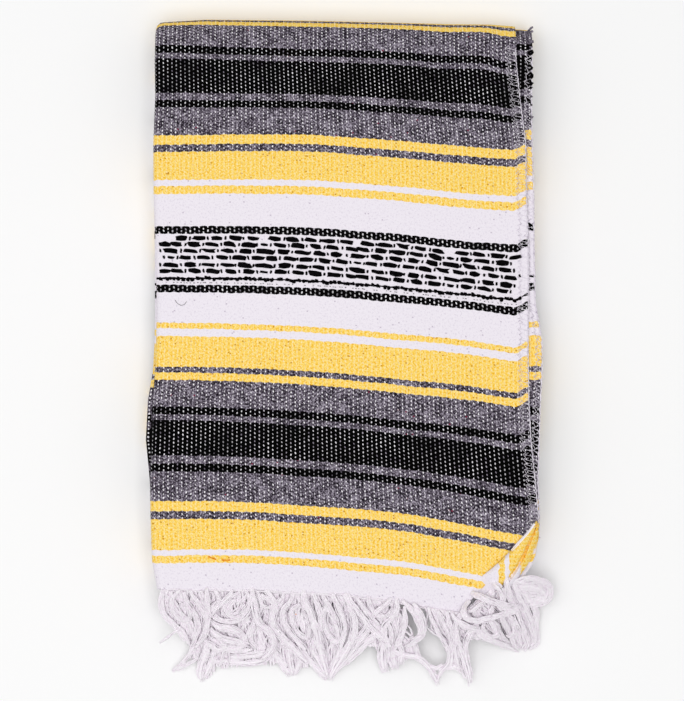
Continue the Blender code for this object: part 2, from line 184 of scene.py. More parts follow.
# How far each stripe has sagged below its middle: rows down the blanket, columns across it
skew = {
    "x": (-175, -157, -94, -21, 0, 47, 81, 115, 137, 165),
    "y": (-177, -143, -63, 22, 107, 184, 259),
    "sag": (
        (-6.0, -6.0, -6.4, -2.1, 0.0, 4.4, 10.5, 17.0, 21.5, 26.0),
        (-5.2, -5.5, -5.4, -1.1, 0.0, 4.8, 10.8, 17.6, 21.8, 25.5),
        (-7.6, -7.6, -5.9, -1.6, 0.0, 5.2, 8.6, 12.8, 16.2, 19.0),
        (-6.2, -6.0, -5.0, -1.6, 0.0, 4.3, 6.9, 11.1, 14.5, 17.0),
        (-3.6, -3.6, -3.6, -1.6, 0.0, 3.5, 7.7, 10.3, 11.1, 12.0),
        (-1.6, -1.6, -2.5, -1.6, 0.0, 3.5, 6.0, 8.6, 10.3, 11.5),
        (-3.9, -3.9, -2.2, -0.5, 0.0, 2.0, 4.6, 4.6, 10.5, 11.5),
    ),
}
selvedgeRise = {
    "y": (-225, -150, -60, 0, 180, 230, 290),
    "rise": (1.0, 2.0, 6.0, 6.5, 5.0, 2.0, 0.0),
    "width": 12.0 * mm,
}


def sagAt(x, y):
    across = np.zeros((len(skew["y"]),) + np.shape(x))
    for row, values in enumerate(skew["sag"]):
        across[row] = smoothLine(skew["x"], values, np.asarray(x) / mm)
    place = np.interp(np.asarray(y) / mm, skew["y"], range(len(skew["y"])))
    low = np.minimum(place.astype(int), len(skew["y"]) - 2)
    share = place - low
    picked = np.take_along_axis(across, np.stack([low, low + 1]), 0)
    return (picked[0] * (1.0 - share) + picked[1] * share) * mm


def unevenness(x, y, size, salt):
    return np.array([noise.noise((a / size, b / size, salt)) for a, b in zip(x, y)])


def frontPattern(x, y):
    right = edgeAt("frontRight", y)
    rise = np.interp(y / mm, selvedgeRise["y"], selvedgeRise["rise"]) * mm
    sag = sagAt(x, y) - rise * ease(x, right - selvedgeRise["width"], right)
    uneven = 0.5 * mm * unevenness(x, y, 16 * mm, 3.0)
    return lineAt(patternDown, y + sag + uneven)


def secondPattern(x, y):
    return lineAt(patternDown, y - 6.8 * mm + 0.4 * mm * unevenness(x, y, 14 * mm, 8.0))


def addNode(tree, kind, settings=None, links=None):
    # a node with its settings, each input linked to a socket or a node's first output, or set
    made = tree.nodes.new("ShaderNode" + kind)
    for name, value in (settings or {}).items():
        setattr(made, name, value)
    for name, value in (links or {}).items():
        if isinstance(value, bpy.types.Node):
            value = value.outputs[0]
        if isinstance(value, bpy.types.NodeSocket):
            tree.links.new(value, made.inputs[name])
        else:
            made.inputs[name].default_value = value
    return made


def fillRamp(node, stops, interpolation):
    ramp = node.color_ramp
    ramp.interpolation = interpolation
    while len(ramp.elements) > 1:
        ramp.elements.remove(ramp.elements[-1])
    for index, (place, colour) in enumerate(stops):
        stop = ramp.elements[0] if index == 0 else ramp.elements.new(place)
        stop.position = place
        stop.color = colour


# Handwoven falsa cloth of reclaimed acrylic and cotton: matt, dry, a soft nap that lifts the edges
clothLook = {
    "white": "#F0EAF2", "whiteShade": "#DDD5E1", "whiteSpeck": "#CBC1CF",
    "yellow": "#FDD251", "yellowPale": "#FFE9A0", "yellowDeep": "#EDA712", "yellowSpeck": "#CC9026",
    "grey": "#4F4753", "greyDark": "#110F14", "greyPale": "#AFA7B5", "fleckRed": "#7E2440",
    "black": "#010101", "blackPale": "#0D0B0C",
    "warpEnd": "#FCF9FD", "warpShade": "#8E8595",
    "dotAcross": 0.52 * mm, "dotAlong": 0.80 * mm,      # half sizes of a warp end where it shows
    "chainDot": 0.80,           # in the narrow black lines they are larger, by this share of a size
    "tooth": 0.17,              # how far a float bulges over its neighbour, in picks
    "yellowSpecks": 0.010, "whiteSpecks": 0.0045, "redFlecks": 0.0012,     # shares of tiny cells
    "roughness": 0.95, "sheen": 0.01, "specular": 0.03,
}


def clothMaterial():
    look = clothLook
    material = bpy.data.materials.new("handwovenFalsaCloth")
    material.use_nodes = True
    tree = material.node_tree
    shader = tree.nodes["Principled BSDF"]
    place = addNode(tree, "UVMap", {"uv_map": "cloth"})
    uv = addNode(tree, "SeparateXYZ", links={0: place})
    column = addNode(tree, "Math", {"operation": "DIVIDE"}, {0: uv, 1: weave["warp"]})
    row = addNode(tree, "Math", {"operation": "DIVIDE"}, {0: uv.outputs["Y"], 1: weave["pick"]})

    # floats bulge over their neighbours on alternate columns, which gives each stripe its teeth
    turn = addNode(tree, "Math", {"operation": "MULTIPLY"}, {0: column, 1: math.pi})
    wave = addNode(tree, "Math", {"operation": "SINE"}, {0: turn})
    nearest = addNode(tree, "Math", {"operation": "ROUND"}, {0: row})
    flip = addNode(tree, "Math", {"operation": "MULTIPLY"}, {0: nearest, 1: math.pi})
    side = addNode(tree, "Math", {"operation": "COSINE"}, {0: flip})
    bulge = addNode(tree, "Math", {"operation": "MULTIPLY"}, {0: wave, 1: side})
    bulged = addNode(tree, "Math", {"operation": "MULTIPLY_ADD"}, {0: bulge, 1: look["tooth"], 2: row})
    pick = addNode(tree, "Math", {"operation": "FLOOR"}, {0: bulged})
    inPick = addNode(tree, "Math", {"operation": "SUBTRACT"}, {0: bulged, 1: pick})

    # which yarn the pick is, from one repeat: red stands for black, green for grey, blue for yellow
    middle = addNode(tree, "Math", {"operation": "ADD"}, {0: pick, 1: 0.5})
    repeats = addNode(tree, "Math", {"operation": "DIVIDE"}, {0: middle, 1: weave["repeatPicks"]})
    inRepeat = addNode(tree, "Math", {"operation": "FRACT"}, {0: repeats})
    yarns = addNode(tree, "ValToRGB", links={0: inRepeat})
    codes = {"white": (0, 0, 0, 1), "black": (1, 0, 0, 1), "blackChain": (0.6, 0, 0, 1),
             "blackThread": (0.3, 0, 0, 1), "grey": (0, 1, 0, 1), "yellow": (0, 0, 1, 1)}
    total = sum(width for _, width in falsaRepeat)
    stops, start = [], 0.0
    for yarn, width in falsaRepeat:
        stops.append((start / total, codes[yarn]))
        start += width
    fillRamp(yarns, stops, "CONSTANT")
    which = addNode(tree, "SeparateColor", links={0: yarns})
    isBlack = addNode(tree, "Math", {"operation": "GREATER_THAN"}, {0: which, 1: 0.1})
    isChain = addNode(tree, "Math", {"operation": "COMPARE"}, {0: which, 1: 0.6, 2: 0.1})
    isThread = addNode(tree, "Math", {"operation": "COMPARE"}, {0: which, 1: 0.3, 2: 0.1})
    isGrey, isYellow = which.outputs[1], which.outputs[2]

    # warp ends: one white dot every other pick, brick-wise between columns, none quite like the next
    cell = addNode(tree, "Math", {"operation": "FLOOR"}, {0: column})
    shifted = addNode(tree, "Math", {"operation": "ADD"}, {0: row, 1: cell})
    pair = addNode(tree, "Math", {"operation": "MULTIPLY_ADD"}, {0: shifted, 1: 0.5, 2: 0.75})
    pairCell = addNode(tree, "Math", {"operation": "FLOOR"}, {0: pair})
    cellPlace = addNode(tree, "CombineXYZ", links={0: cell, 1: pairCell})
    chance = addNode(tree, "TexWhiteNoise", {"noise_dimensions": "2D"}, {"Vector": cellPlace})
    odds = addNode(tree, "SeparateColor", links={0: chance.outputs["Color"]})
    acrossSize = weave["warp"] / look["dotAcross"]
    alongSize = 2 * weave["pick"] / look["dotAlong"]
    inPair = addNode(tree, "Math", {"operation": "SUBTRACT"}, {0: pair, 1: pairCell})
    down = addNode(tree, "Math", {"operation": "MULTIPLY_ADD"},
                   {0: inPair, 1: alongSize, 2: -0.5 * alongSize - 0.25})
    down = addNode(tree, "Math", {"operation": "MULTIPLY_ADD"}, {0: odds, 1: 0.5, 2: down})
    inColumn = addNode(tree, "Math", {"operation": "SUBTRACT"}, {0: column, 1: cell})
    across = addNode(tree, "Math", {"operation": "MULTIPLY_ADD"},
                     {0: inColumn, 1: acrossSize, 2: -0.5 * acrossSize})
    lean = addNode(tree, "Math", {"operation": "SUBTRACT"}, {0: odds.outputs[1], 1: 0.65})
    across = addNode(tree, "Math", {"operation": "MULTIPLY_ADD"}, {0: lean, 1: down, 2: across})
    offset = addNode(tree, "CombineXYZ", links={0: across, 1: down})
    fromMid = addNode(tree, "VectorMath", {"operation": "LENGTH"}, {0: offset}).outputs["Value"]
    size = addNode(tree, "MapRange", links={0: odds.outputs[2], 3: 1.25, 4: 0.88})
    larger = addNode(tree, "Math", {"operation": "MULTIPLY_ADD"},
                     {0: isChain, 1: look["chainDot"] - 1.0, 2: 1.0})
    size = addNode(tree, "Math", {"operation": "MULTIPLY"}, {0: size, 1: larger})
    reach = addNode(tree, "Math", {"operation": "MULTIPLY"}, {0: fromMid, 1: size})
    dot = addNode(tree, "MapRange", {"interpolation_type": "SMOOTHSTEP"}, {0: reach, 1: 1.2, 2: 0.7})

    # fibre noise: drawn out along the weft, and the finer salt and pepper of the grey marl
    spread = addNode(tree, "Mapping", links={0: place, 3: (260, 620, 1)})
    fibres = addNode(tree, "TexNoise", links={
        "Vector": spread, "Scale": 1.0, "Detail": 3.0, "Roughness": 0.65}).outputs["Fac"]
    marlSpread = addNode(tree, "Mapping", links={0: place, 3: (640, 560, 1)})
    marl = addNode(tree, "TexNoise", links={
        "Vector": marlSpread, "Scale": 1.0, "Detail": 2.0, "Roughness": 0.8}).outputs["Fac"]
    clumps = addNode(tree, "TexNoise", links={
        "Vector": place, "Scale": 120.0, "Detail": 1.0}).outputs["Fac"]
    fleckCells = addNode(tree, "Mapping", links={0: place, 3: (760, 900, 1)})
    fleckPlace = addNode(tree, "VectorMath", {"operation": "FLOOR"}, {0: fleckCells})
    fleckChance = addNode(tree, "TexWhiteNoise", {"noise_dimensions": "2D"}, {"Vector": fleckPlace})

    white = addNode(tree, "ValToRGB", links={0: marl})
    fillRamp(white, [(0.30, srgb(look["whiteShade"])), (0.48, srgb(look["white"]))], "LINEAR")
    yellow = addNode(tree, "ValToRGB", links={0: marl})
    fillRamp(yellow, [(0.34, srgb(look["yellowDeep"])), (0.47, srgb(look["yellow"])),
                      (0.66, srgb(look["yellowPale"]))], "LINEAR")
    clumped = addNode(tree, "Math", {"operation": "SUBTRACT"}, {0: clumps, 1: 0.5})
    marlMix = addNode(tree, "Math", {"operation": "MULTIPLY_ADD"}, {0: clumped, 1: 0.3, 2: marl})
    grey = addNode(tree, "ValToRGB", links={0: marlMix})
    fillRamp(grey, [(0.37, srgb(look["greyDark"])), (0.50, srgb(look["grey"])),
                    (0.66, srgb(look["greyPale"]))], "LINEAR")
    black = addNode(tree, "ValToRGB", links={0: fibres})
    fillRamp(black, [(0.45, srgb(look["black"])), (0.75, srgb(look["blackPale"]))], "LINEAR")

    # paler warp columns in the yellow; stray red fibres in the grey, dark ones in yellow and white
    sideways = addNode(tree, "Math", {"operation": "ABSOLUTE"}, {0: across})
    ridge = addNode(tree, "MapRange", {"interpolation_type": "SMOOTHSTEP"},
                    {0: sideways, 1: 2.2, 2: 0.2, 4: 0.34})
    often = addNode(tree, "Math", {"operation": "LESS_THAN"}, {0: fleckChance, 1: look["yellowSpecks"]})
    rare = addNode(tree, "Math", {"operation": "LESS_THAN"}, {0: fleckChance, 1: look["whiteSpecks"]})
    rarest = addNode(tree, "Math", {"operation": "LESS_THAN"}, {0: fleckChance, 1: look["redFlecks"]})
    blend = {"data_type": "RGBA"}
    yellow = addNode(tree, "Mix", blend, {0: ridge, 6: yellow, 7: srgb(look["yellowPale"])}).outputs[2]
    yellow = addNode(tree, "Mix", blend, {0: often, 6: yellow, 7: srgb(look["yellowSpeck"])}).outputs[2]
    white = addNode(tree, "Mix", blend, {0: rare, 6: white, 7: srgb(look["whiteSpeck"])}).outputs[2]
    grey = addNode(tree, "Mix", blend, {0: rarest, 6: grey, 7: srgb(look["fleckRed"])}).outputs[2]
    weft = addNode(tree, "Mix", blend, {0: isYellow, 6: white, 7: yellow}).outputs[2]
    weft = addNode(tree, "Mix", blend, {0: isGrey, 6: weft, 7: grey}).outputs[2]
    weft = addNode(tree, "Mix", blend, {0: isBlack, 6: weft, 7: black}).outputs[2]

    # how strongly a warp end shows against each yarn
    patches = addNode(tree, "TexNoise", links={"Vector": place, "Scale": 28.0, "Detail": 1.0})
    plain = addNode(tree, "MapRange", links={0: patches.outputs["Fac"], 1: 0.3, 2: 0.62, 3: 0.32, 4: 0.94})
    dotted = addNode(tree, "Math", {"operation": "SUBTRACT"}, {0: isBlack, 1: isThread})
    strength = addNode(tree, "Math", {"operation": "MULTIPLY"}, {0: dotted, 1: plain})
    strength = addNode(tree, "Math", {"operation": "ADD"}, {0: isGrey, 1: strength})
    strength = addNode(tree, "Math", {"operation": "MULTIPLY_ADD"}, {0: isYellow, 1: 0.30, 2: strength})
    shown = addNode(tree, "Math", {"operation": "MULTIPLY"}, {0: strength, 1: dot})
    worn = addNode(tree, "MapRange", {"interpolation_type": "SMOOTHSTEP"}, {0: chance, 1: -0.1, 2: 0.55})
    warpEnd = addNode(tree, "Mix", blend,
                      {0: worn, 6: srgb(look["warpShade"]), 7: srgb(look["warpEnd"])}).outputs[2]
    colour = addNode(tree, "Mix", blend, {0: shown, 6: weft, 7: warpEnd}).outputs[2]

    # the picks' own roundness, the warp ends and the fibres, over the floats in the mesh
    arch = addNode(tree, "Math", {"operation": "MULTIPLY"}, {0: inPick, 1: math.pi})
    relief = addNode(tree, "Math", {"operation": "SINE"}, {0: arch})
    relief = addNode(tree, "Math", {"operation": "MULTIPLY_ADD"}, {0: dot, 1: 0.4, 2: relief})
    relief = addNode(tree, "Math", {"operation": "MULTIPLY_ADD"}, {0: fibres, 1: 0.8, 2: relief})
    bump = addNode(tree, "Bump", links={"Strength": 0.4, "Distance": 0.25 * mm, "Height": relief})
    tree.links.new(colour, shader.inputs["Base Color"])
    tree.links.new(bump.outputs[0], shader.inputs["Normal"])
    shader.inputs["Roughness"].default_value = look["roughness"]
    shader.inputs["Specular IOR Level"].default_value = look["specular"]
    shader.inputs["Sheen Weight"].default_value = look["sheen"]
    shader.inputs["Sheen Roughness"].default_value = 0.6
    return material


# Loosely spun cotton yarn: a fuzzy matt white, greyer where it turns away
yarnLook = {"pale": "#FEF9FE", "mid": "#FDF5FD", "shade": "#F8EDF7",
            "roughness": 0.9, "specular": 0.1, "sheen": 0.1, "through": 0.15}
# Black acrylic yarn of the brocaded dashes, dull, and the polyester thread of the overlocked edges
blackYarnLook = {"pale": "#0C0A0D", "mid": "#040304", "shade": "#010101",
                 "roughness": 0.95, "specular": 0.04, "sheen": 0.0, "through": 0.0}
threadLook = {"pale": "#F2EDF4", "mid": "#E3DCE7", "shade": "#C4BBC9",
              "roughness": 0.7, "specular": 0.2, "sheen": 0.0, "through": 0.0}
# Odd dyed fibre that was spun into the yellow yarn
orangeLook = {"pale": "#F7A93A", "mid": "#EE8F1E", "shade": "#D97812",
              "roughness": 0.95, "specular": 0.04, "sheen": 0.0, "through": 0.0}
# Grey marl weft where it turns round the selvedge
greyLook = {"pale": "#8E8794", "mid": "#625C68", "shade": "#2E2B33",
            "roughness": 0.95, "specular": 0.04, "sheen": 0.0, "through": 0.0}


def yarnMaterial(name, look):
    material = bpy.data.materials.new(name)
    material.use_nodes = True
    tree = material.node_tree
    shader = tree.nodes["Principled BSDF"]
    place = addNode(tree, "TexCoord").outputs["Object"]
    tufts = addNode(tree, "TexNoise", links={
        "Vector": place, "Scale": 420.0, "Detail": 3.0, "Roughness": 0.6}).outputs["Fac"]
    colour = addNode(tree, "ValToRGB", links={0: tufts})
    fillRamp(colour, [(0.32, srgb(look["shade"])), (0.47, srgb(look["mid"])),
                      (0.60, srgb(look["pale"]))], "LINEAR")
    bump = addNode(tree, "Bump", links={"Strength": 0.5, "Distance": 0.25 * mm, "Height": tufts})
    tree.links.new(colour.outputs["Color"], shader.inputs["Base Color"])
    tree.links.new(bump.outputs[0], shader.inputs["Normal"])
    shader.inputs["Roughness"].default_value = look["roughness"]
    shader.inputs["Specular IOR Level"].default_value = look["specular"]
    shader.inputs["Sheen Weight"].default_value = look["sheen"]
    shader.inputs["Subsurface Weight"].default_value = look["through"]
    shader.inputs["Subsurface Radius"].default_value = (1.0, 0.9, 0.95)
    shader.inputs["Subsurface Scale"].default_value = 1.2 * mm
    return material


clothFinish = clothMaterial()
yarnFinish = yarnMaterial("spunCottonYarn", yarnLook)
blackFinish = yarnMaterial("blackAcrylicYarn", blackYarnLook)
threadFinish = yarnMaterial("spunPolyesterThread", threadLook)
orangeFinish = yarnMaterial("orangeAcrylicFibre", orangeLook)
greyFinish = yarnMaterial("greyMarlYarn", greyLook)
print("materials made")


def newPiece(name, solid, finish, slot, *nodes):
    mesh = bpy.data.meshes.new(name)
    solid.to_mesh(mesh)
    solid.free()
    mesh.materials.append(finish)
    mesh.shade_smooth()
    piece = bpy.data.objects.new(name, mesh)
    bpy.context.scene.collection.objects.link(piece)
    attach(piece, "root")
    if nodes:
        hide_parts(*nodes)
    return piece


def yarnCurve(name, thin=False):
    curve = bpy.data.curves.new(name, "CURVE")
    curve.dimensions = "3D"
    curve.bevel_depth = 1.0
    curve.bevel_resolution = 0 if thin else 1
    curve.use_fill_caps = True
    return curve


def addYarn(curve, route, radii):
    spline = curve.splines.new("POLY")
    spline.points.add(len(route) - 1)
    for point, spot, radius in zip(spline.points, route, radii):
        point.co = (*spot, 1.0)
        point.radius = radius


def yarnPiece(name, curves, finish, slot, *nodes):
    solid = bmesh.new()
    for curve in curves:
        holder = bpy.data.objects.new(name + "Curve", curve)
        bpy.context.scene.collection.objects.link(holder)
        bpy.context.view_layer.update()
        seen = holder.evaluated_get(bpy.context.evaluated_depsgraph_get())
        mesh = bpy.data.meshes.new_from_object(seen)
        solid.from_mesh(mesh)
        bpy.data.meshes.remove(mesh)
        bpy.data.objects.remove(holder)
        bpy.data.curves.remove(curve)
    return newPiece(name, solid, finish, slot, *nodes)


def wallFinish(piece):
    # gives the open edges the cloth's thickness; what lies under the ply never shows
    wall = piece.modifiers.new("edge", "SOLIDIFY")
    wall.thickness = stack["ply"]
    wall.offset = -1.0
    wall.use_rim_only = True


def gridSheet(points, cloth):
    # points[column][row] and their place on the cloth, as a bent grid with its floats raised
    across, along = points.shape[0] - 1, points.shape[1] - 1
    solid = bmesh.new()
    bmesh.ops.create_grid(solid, x_segments=across, y_segments=along, size=0.5)
    places = {}
    for vertex in solid.verts:
        column = round((vertex.co.x + 0.5) * across)
        row = round((vertex.co.y + 0.5) * along)
        vertex.co = points[column, row]
        places[vertex] = (column, row)
    solid.normal_update()
    lifts = {vertex: vertex.normal * cloth["lift"][places[vertex]] for vertex in solid.verts}
    for vertex, lift in lifts.items():
        vertex.co += lift
    layer = solid.loops.layers.uv.new("cloth")
    for face in solid.faces:
        for loop in face.loops:
            column, row = places[loop.vert]
            loop[layer].uv = (cloth["u"][column], cloth["v"][row])
    return solid


def floatLift(u, v):
    # height of the floats at each column and pick: up where the weft lies over a warp pair
    column = np.floor(u / weave["warp"] + 1e-6)[:, None]
    atMiddle = np.abs(np.mod(u / weave["warp"], 1.0) - 0.5)[:, None] < 0.2
    pick = np.floor(v / weave["pick"])[None, :]
    over = np.mod(column + pick, 2) < 0.5
    lift = np.where(over, weave["over"], -weave["under"])
    return np.where(atMiddle, lift, 0.25 * weave["over"])


def plyColumn(inset, share, right, hem, depth, pattern):
    # one warp line of a ply, hem to far end: its points and where they are in the repeat
    t = np.linspace(0.0, 1.0, weave["lineSamples"])
    y = -0.2 + 0.46 * t
    for _ in range(4):
        left = edgeAt("frontLeft", y)
        x = left + inset + share * (edgeAt(right, y) - left - inset)
        y = hem(x) + (farCentre(x) - hem(x)) * t
    flatPlace = pattern(x, y)
    flat = np.stack([x, y, topHeight(x, y) - depth], 1)
    degrees = np.linspace(90.0, stack["farEnd"], weave["foldSamples"])[1:]
    left = edgeAt("frontLeft", farCentre(0.0))
    foldX = left + inset + share * (edgeAt(right, farCentre(0.0)) - left - inset)
    foldX = foldX + (flat[-1, 0] - foldX) * ease(degrees, 0.0, 90.0)
    foldY, foldZ = onFarFold(foldX, degrees, depth)
    fold = np.stack([foldX, foldY, foldZ], 1)
    outer = np.stack(onFarFold(foldX, degrees, 0.0), 1)
    steps = np.linalg.norm(np.diff(outer, axis=0, prepend=outer[:1]), axis=1)
    foldPlace = flatPlace[-1] - weave["foldStretch"] * np.cumsum(steps)
    return np.concatenate([flat, fold]), np.concatenate([flatPlace, foldPlace])


def wovenPly(columns, pattern, depth, right, hem, foldColumns=()):
    # columns are (u, inset, share); foldColumns are (u, degrees) round the left fold
    lines = []
    for u, degrees in foldColumns:
        angle = math.radians(degrees)
        inset = stack["leftRadius"] * (1.0 + math.cos(angle))
        down = stack["leftRadius"] * (1.0 - math.sin(angle))
        lines.append((u, *plyColumn(inset, 0.0, right, hem, depth + down, pattern)))
    for u, inset, share in columns:
        lines.append((u, *plyColumn(inset, share, right, hem, depth, pattern)))
    hemPlaces = np.array([places[0] for _, _, places in lines])
    farPlaces = np.array([places[-1] for _, _, places in lines])
    first = math.floor(np.median(hemPlaces) / weave["pick"])
    last = math.floor(np.median(farPlaces) / weave["pick"])
    picks = np.arange(first, last - 1, -1)
    v = (picks + 0.5) * weave["pick"]
    u = np.array([u for u, _, _ in lines])
    index = np.arange(len(picks))
    nearHem = 1.0 - ease(index, 0, 12)
    nearFar = ease(index, len(picks) - 40, len(picks) - 1)
    points = np.zeros((len(lines), len(picks), 3))
    for column, (_, route, places) in enumerate(lines):
        wanted = v + nearHem * (hemPlaces[column] - v[0]) + nearFar * (farPlaces[column] - v[-1])
        for axis in range(3):
            points[column, :, axis] = np.interp(-wanted, -places, route[:, axis])
    return points, {"u": u, "v": np.minimum(v, weave["hemPlace"]), "lift": floatLift(u, v)}


# Front ply: the one on top, hem to far fold and down to the floor, rolled over on the left
frontPly = {
    "warpColumns": 83,
    "foldSamples": 6,
    # where it is cut away under the turned corner: a spot, the way out, and how far past the spot
    "cornerCuts": (((99.5, -201.0), (0.735, -0.678), 8.0), ((156.5, -142.8), (0.866, -0.500), 4.0)),
}


def frontHem(x):
    return lineAt(wovenHem, x)


def makeFrontPly():
    half = weave["warp"] / 2
    samples = frontPly["foldSamples"]
    turns = np.linspace(stack["leftEnd"], 90.0, samples + 1)[:-1]
    foldColumns = [(half * (i - samples), degrees) for i, degrees in enumerate(turns)]
    count = 2 * frontPly["warpColumns"]
    columns = [(half * i, stack["leftRadius"], i / count) for i in range(count + 1)]
    points, cloth = wovenPly(columns, frontPattern, 0.0, "frontRight", frontHem, foldColumns)
    solid = gridSheet(points, cloth)
    for (x, y), (outX, outY), under in frontPly["cornerCuts"]:
        spot = Vector((x + outX * under, y + outY * under, 0.0)) * mm
        bmesh.ops.bisect_plane(solid, geom=solid.verts[:] + solid.edges[:] + solid.faces[:],
                               dist=1e-6, plane_co=spot, plane_no=(outX, outY, 0.0), clear_outer=True)
    piece = newPiece("frontPly", solid, clothFinish, "cloth", "front_ply")
    wallFinish(piece)
    return piece


frontPiece = makeFrontPly()
print("front ply woven")

# Brocade: short raised dashes of black yarn in the white, six rows that mirror into diamonds
brocade = {
    "axes": (-232.0, -73.1, 85.4),      # across the cloth, where the rows mirror
    "step": 15.2,                       # four warp columns
    # place in the repeat, first dash from an axis, dashes each side, dash on the axis itself
    "rows": ((38.5, 9.8, 5, None), (43.9, 13.5, 5, "short"), (49.5, 16.3, 4, "long"),
             (55.3, 5.9, 5, None), (61.7, 16.6, 4, "long"), (67.0, 13.4, 5, "short")),
    "teeth": (73.9, 3.8),               # under the single black pick: place, and how far apart
    "between": (79.3, (None, None, "long", "short", "long", None)),     # half way between two axes
    "betweenTick": {"long": 8.8, "short": 5.8},     # how far beside those a tick stands
    "dots": (77.2, 2.7),                # a faint row of pricks under the teeth
    "dotShare": 0.7,                    # of them, those that show
    "from": -168, "across": 330,        # where teeth and pricks start, and how far they go
    "length": {"plain": 11.2, "long": 14.6, "short": 6.6, "tick": 1.9, "tooth": 3.4, "dot": 1.3},
    "width": {"plain": 4.2, "long": 4.4, "short": 2.4, "tick": 3.2, "tooth": 3.3, "dot": 0.5},
    "height": 1.0 * mm,
    "tilt": 0.07,
    "left": 3.0 * mm,
    "right": 7.0 * mm,
}


def onFront(x, place):
    # the spot on the front ply that is at a place in the repeat
    y = weave["middle"] - place + np.linspace(-16, 10, 14) * mm
    y = float(np.interp(-place, -frontPattern(np.full_like(y, x), y), y))
    return Vector((x, y, float(topHeight(x, y))))


def addDash(solid, x, place, kind):
    margin = 0.5 * brocade["length"][kind] * mm
    y = weave["middle"] - place
    if not edgeAt("frontLeft", y) + brocade["left"] < x - margin + 2 * mm:
        return
    if not x + margin < edgeAt("frontRight", y) - brocade["right"] + 2 * mm:
        return
    spot = onFront(x, place)
    ahead = onFront(x + 4 * mm, place) - onFront(x - 4 * mm, place)
    made = bmesh.ops.create_uvsphere(solid, u_segments=10, v_segments=5, radius=1.0)["verts"]
    length = brocade["length"][kind] * random.uniform(0.90, 1.08) / 2 * mm
    width = brocade["width"][kind] * random.uniform(0.85, 1.12) / 2 * mm
    lean = random.uniform(-0.22, 0.22)
    turned = ahead.to_track_quat("X", "Z").to_matrix()
    salt = random.uniform(0, 50)
    for vertex in made:
        along = math.copysign(abs(vertex.co.x) ** 0.48, vertex.co.x)
        across = math.copysign(abs(vertex.co.y) ** 0.62, vertex.co.y)
        ragged = 1.0 + 0.5 * noise.noise((along * 2.4, across * 2.6, salt))
        local = Vector((along * length * ragged + across * width * lean,
                        across * width * ragged - brocade["tilt"] * along * length,
                        vertex.co.z * brocade["height"]))
        vertex.co = spot + turned @ local


def makeBrocade():
    solid = bmesh.new()
    for place, first, count, middle in brocade["rows"]:
        for axis in brocade["axes"]:
            if middle:
                addDash(solid, axis * mm, place * mm, middle)
            for side in (-1, 1):
                for index in range(count):
                    off = first + brocade["step"] * index + random.uniform(-0.5, 0.5)
                    addDash(solid, (axis + side * off) * mm, place * mm, "plain")
                    tick = first + brocade["step"] * (index - 0.5)
                    if tick > 3.0:
                        addDash(solid, (axis + side * tick) * mm, place * mm, "tick")
    offset, kinds = brocade["between"]
    for axis in brocade["axes"][1:]:
        for (place, _, _, _), kind in zip(brocade["rows"], kinds):
            if kind:
                addDash(solid, (axis - offset) * mm, place * mm, kind)
                for side in (-1, 1):
                    beside = axis - offset + side * brocade["betweenTick"][kind]
                    addDash(solid, beside * mm, place * mm, "tick")
    place, apart = brocade["teeth"]
    for index in range(int(brocade["across"] / apart)):
        x = brocade["from"] + apart * (index + random.uniform(-0.35, 0.35))
        addDash(solid, x * mm, (place + random.uniform(-0.9, 0.7)) * mm, "tooth")
    place, apart = brocade["dots"]
    for index in range(int(brocade["across"] / apart)):
        x = brocade["from"] + apart * (index + random.uniform(-0.35, 0.35))
        if random.random() < brocade["dotShare"]:
            addDash(solid, x * mm, (place + random.uniform(-0.3, 0.3)) * mm, "dot")
    # the sphere operator leaves its faces in no fixed order, so they are put in that of their corners
    solid.verts.index_update()
    count = len(solid.verts)

    def faceOrder(face):
        first, second, third = sorted(vertex.index for vertex in face.verts)[:3]
        return (first * count + second) * count + third

    solid.faces.sort(key=faceOrder)
    return newPiece("brocadeDashes", solid, blackFinish, "cloth")


brocadePiece = makeBrocade()
print("brocade of", len(brocadePiece.data.polygons), "faces")

# Overlock: one thread along each selvedge and one that zigzags over it
overlock = {
    "front": {"edge": "frontRight", "depth": 0.0, "from": -146 * mm, "to": 262 * mm, "width": 8.0 * mm,
              "stitch": 2.2 * mm, "thread": 0.27 * mm, "purl": 0.50 * mm},
    "second": {"edge": "secondRight", "depth": secondDepth, "from": -150 * mm, "to": 262 * mm,
               "width": 5.6 * mm, "stitch": 3.1 * mm, "thread": 0.32 * mm, "purl": 0.60 * mm},
}


def addOverlock(curve, side):
    def stitch(y, inset, lift):
        y = float(y)
        x = float(edgeAt(side["edge"], y)) - inset
        return (x, y, float(topHeight(x, y)) - side["depth"] + lift)

    count = int((side["to"] - side["from"]) / side["stitch"])
    y = np.linspace(side["from"], side["to"], count)
    zigzag, inner = [], []
    for index, spot in enumerate(y):
        uneven = 1.6 * mm * noise.noise((float(spot) * 400, 1.5, side["depth"] * 900))
        slip = 0.5 * mm * noise.noise((float(spot) * 900, 4.5, 0.0))
        if index % 2:
            zigzag.append(stitch(spot + slip, -0.45 * mm, -0.5 * mm))
            zigzag.append(stitch(spot + slip + 0.5 * mm, 0.8 * mm, 0.45 * mm))
        else:
            zigzag.append(stitch(spot + slip, side["width"] + uneven, 0.35 * mm))
            inner.append(stitch(spot, side["width"] + uneven + 0.7 * mm, 0.35 * mm))
            inner.append(stitch(spot + 1.2 * mm, side["width"] + uneven - 1.6 * mm, 0.5 * mm))
    purl = [stitch(spot, (0.1 + 0.6 * (index % 2)) * mm, 0.3 * mm) for index, spot in enumerate(y)]
    for line, radius in ((zigzag, "thread"), (inner, "thread"), (purl, "purl")):
        addYarn(curve, line, [side[radius] * random.uniform(0.6, 1.3) for _ in line])


def makeOverlock(name, side):
    curve = yarnCurve(name, thin=True)
    addOverlock(curve, side)
    yarnPiece(name, [curve], threadFinish, "cloth")


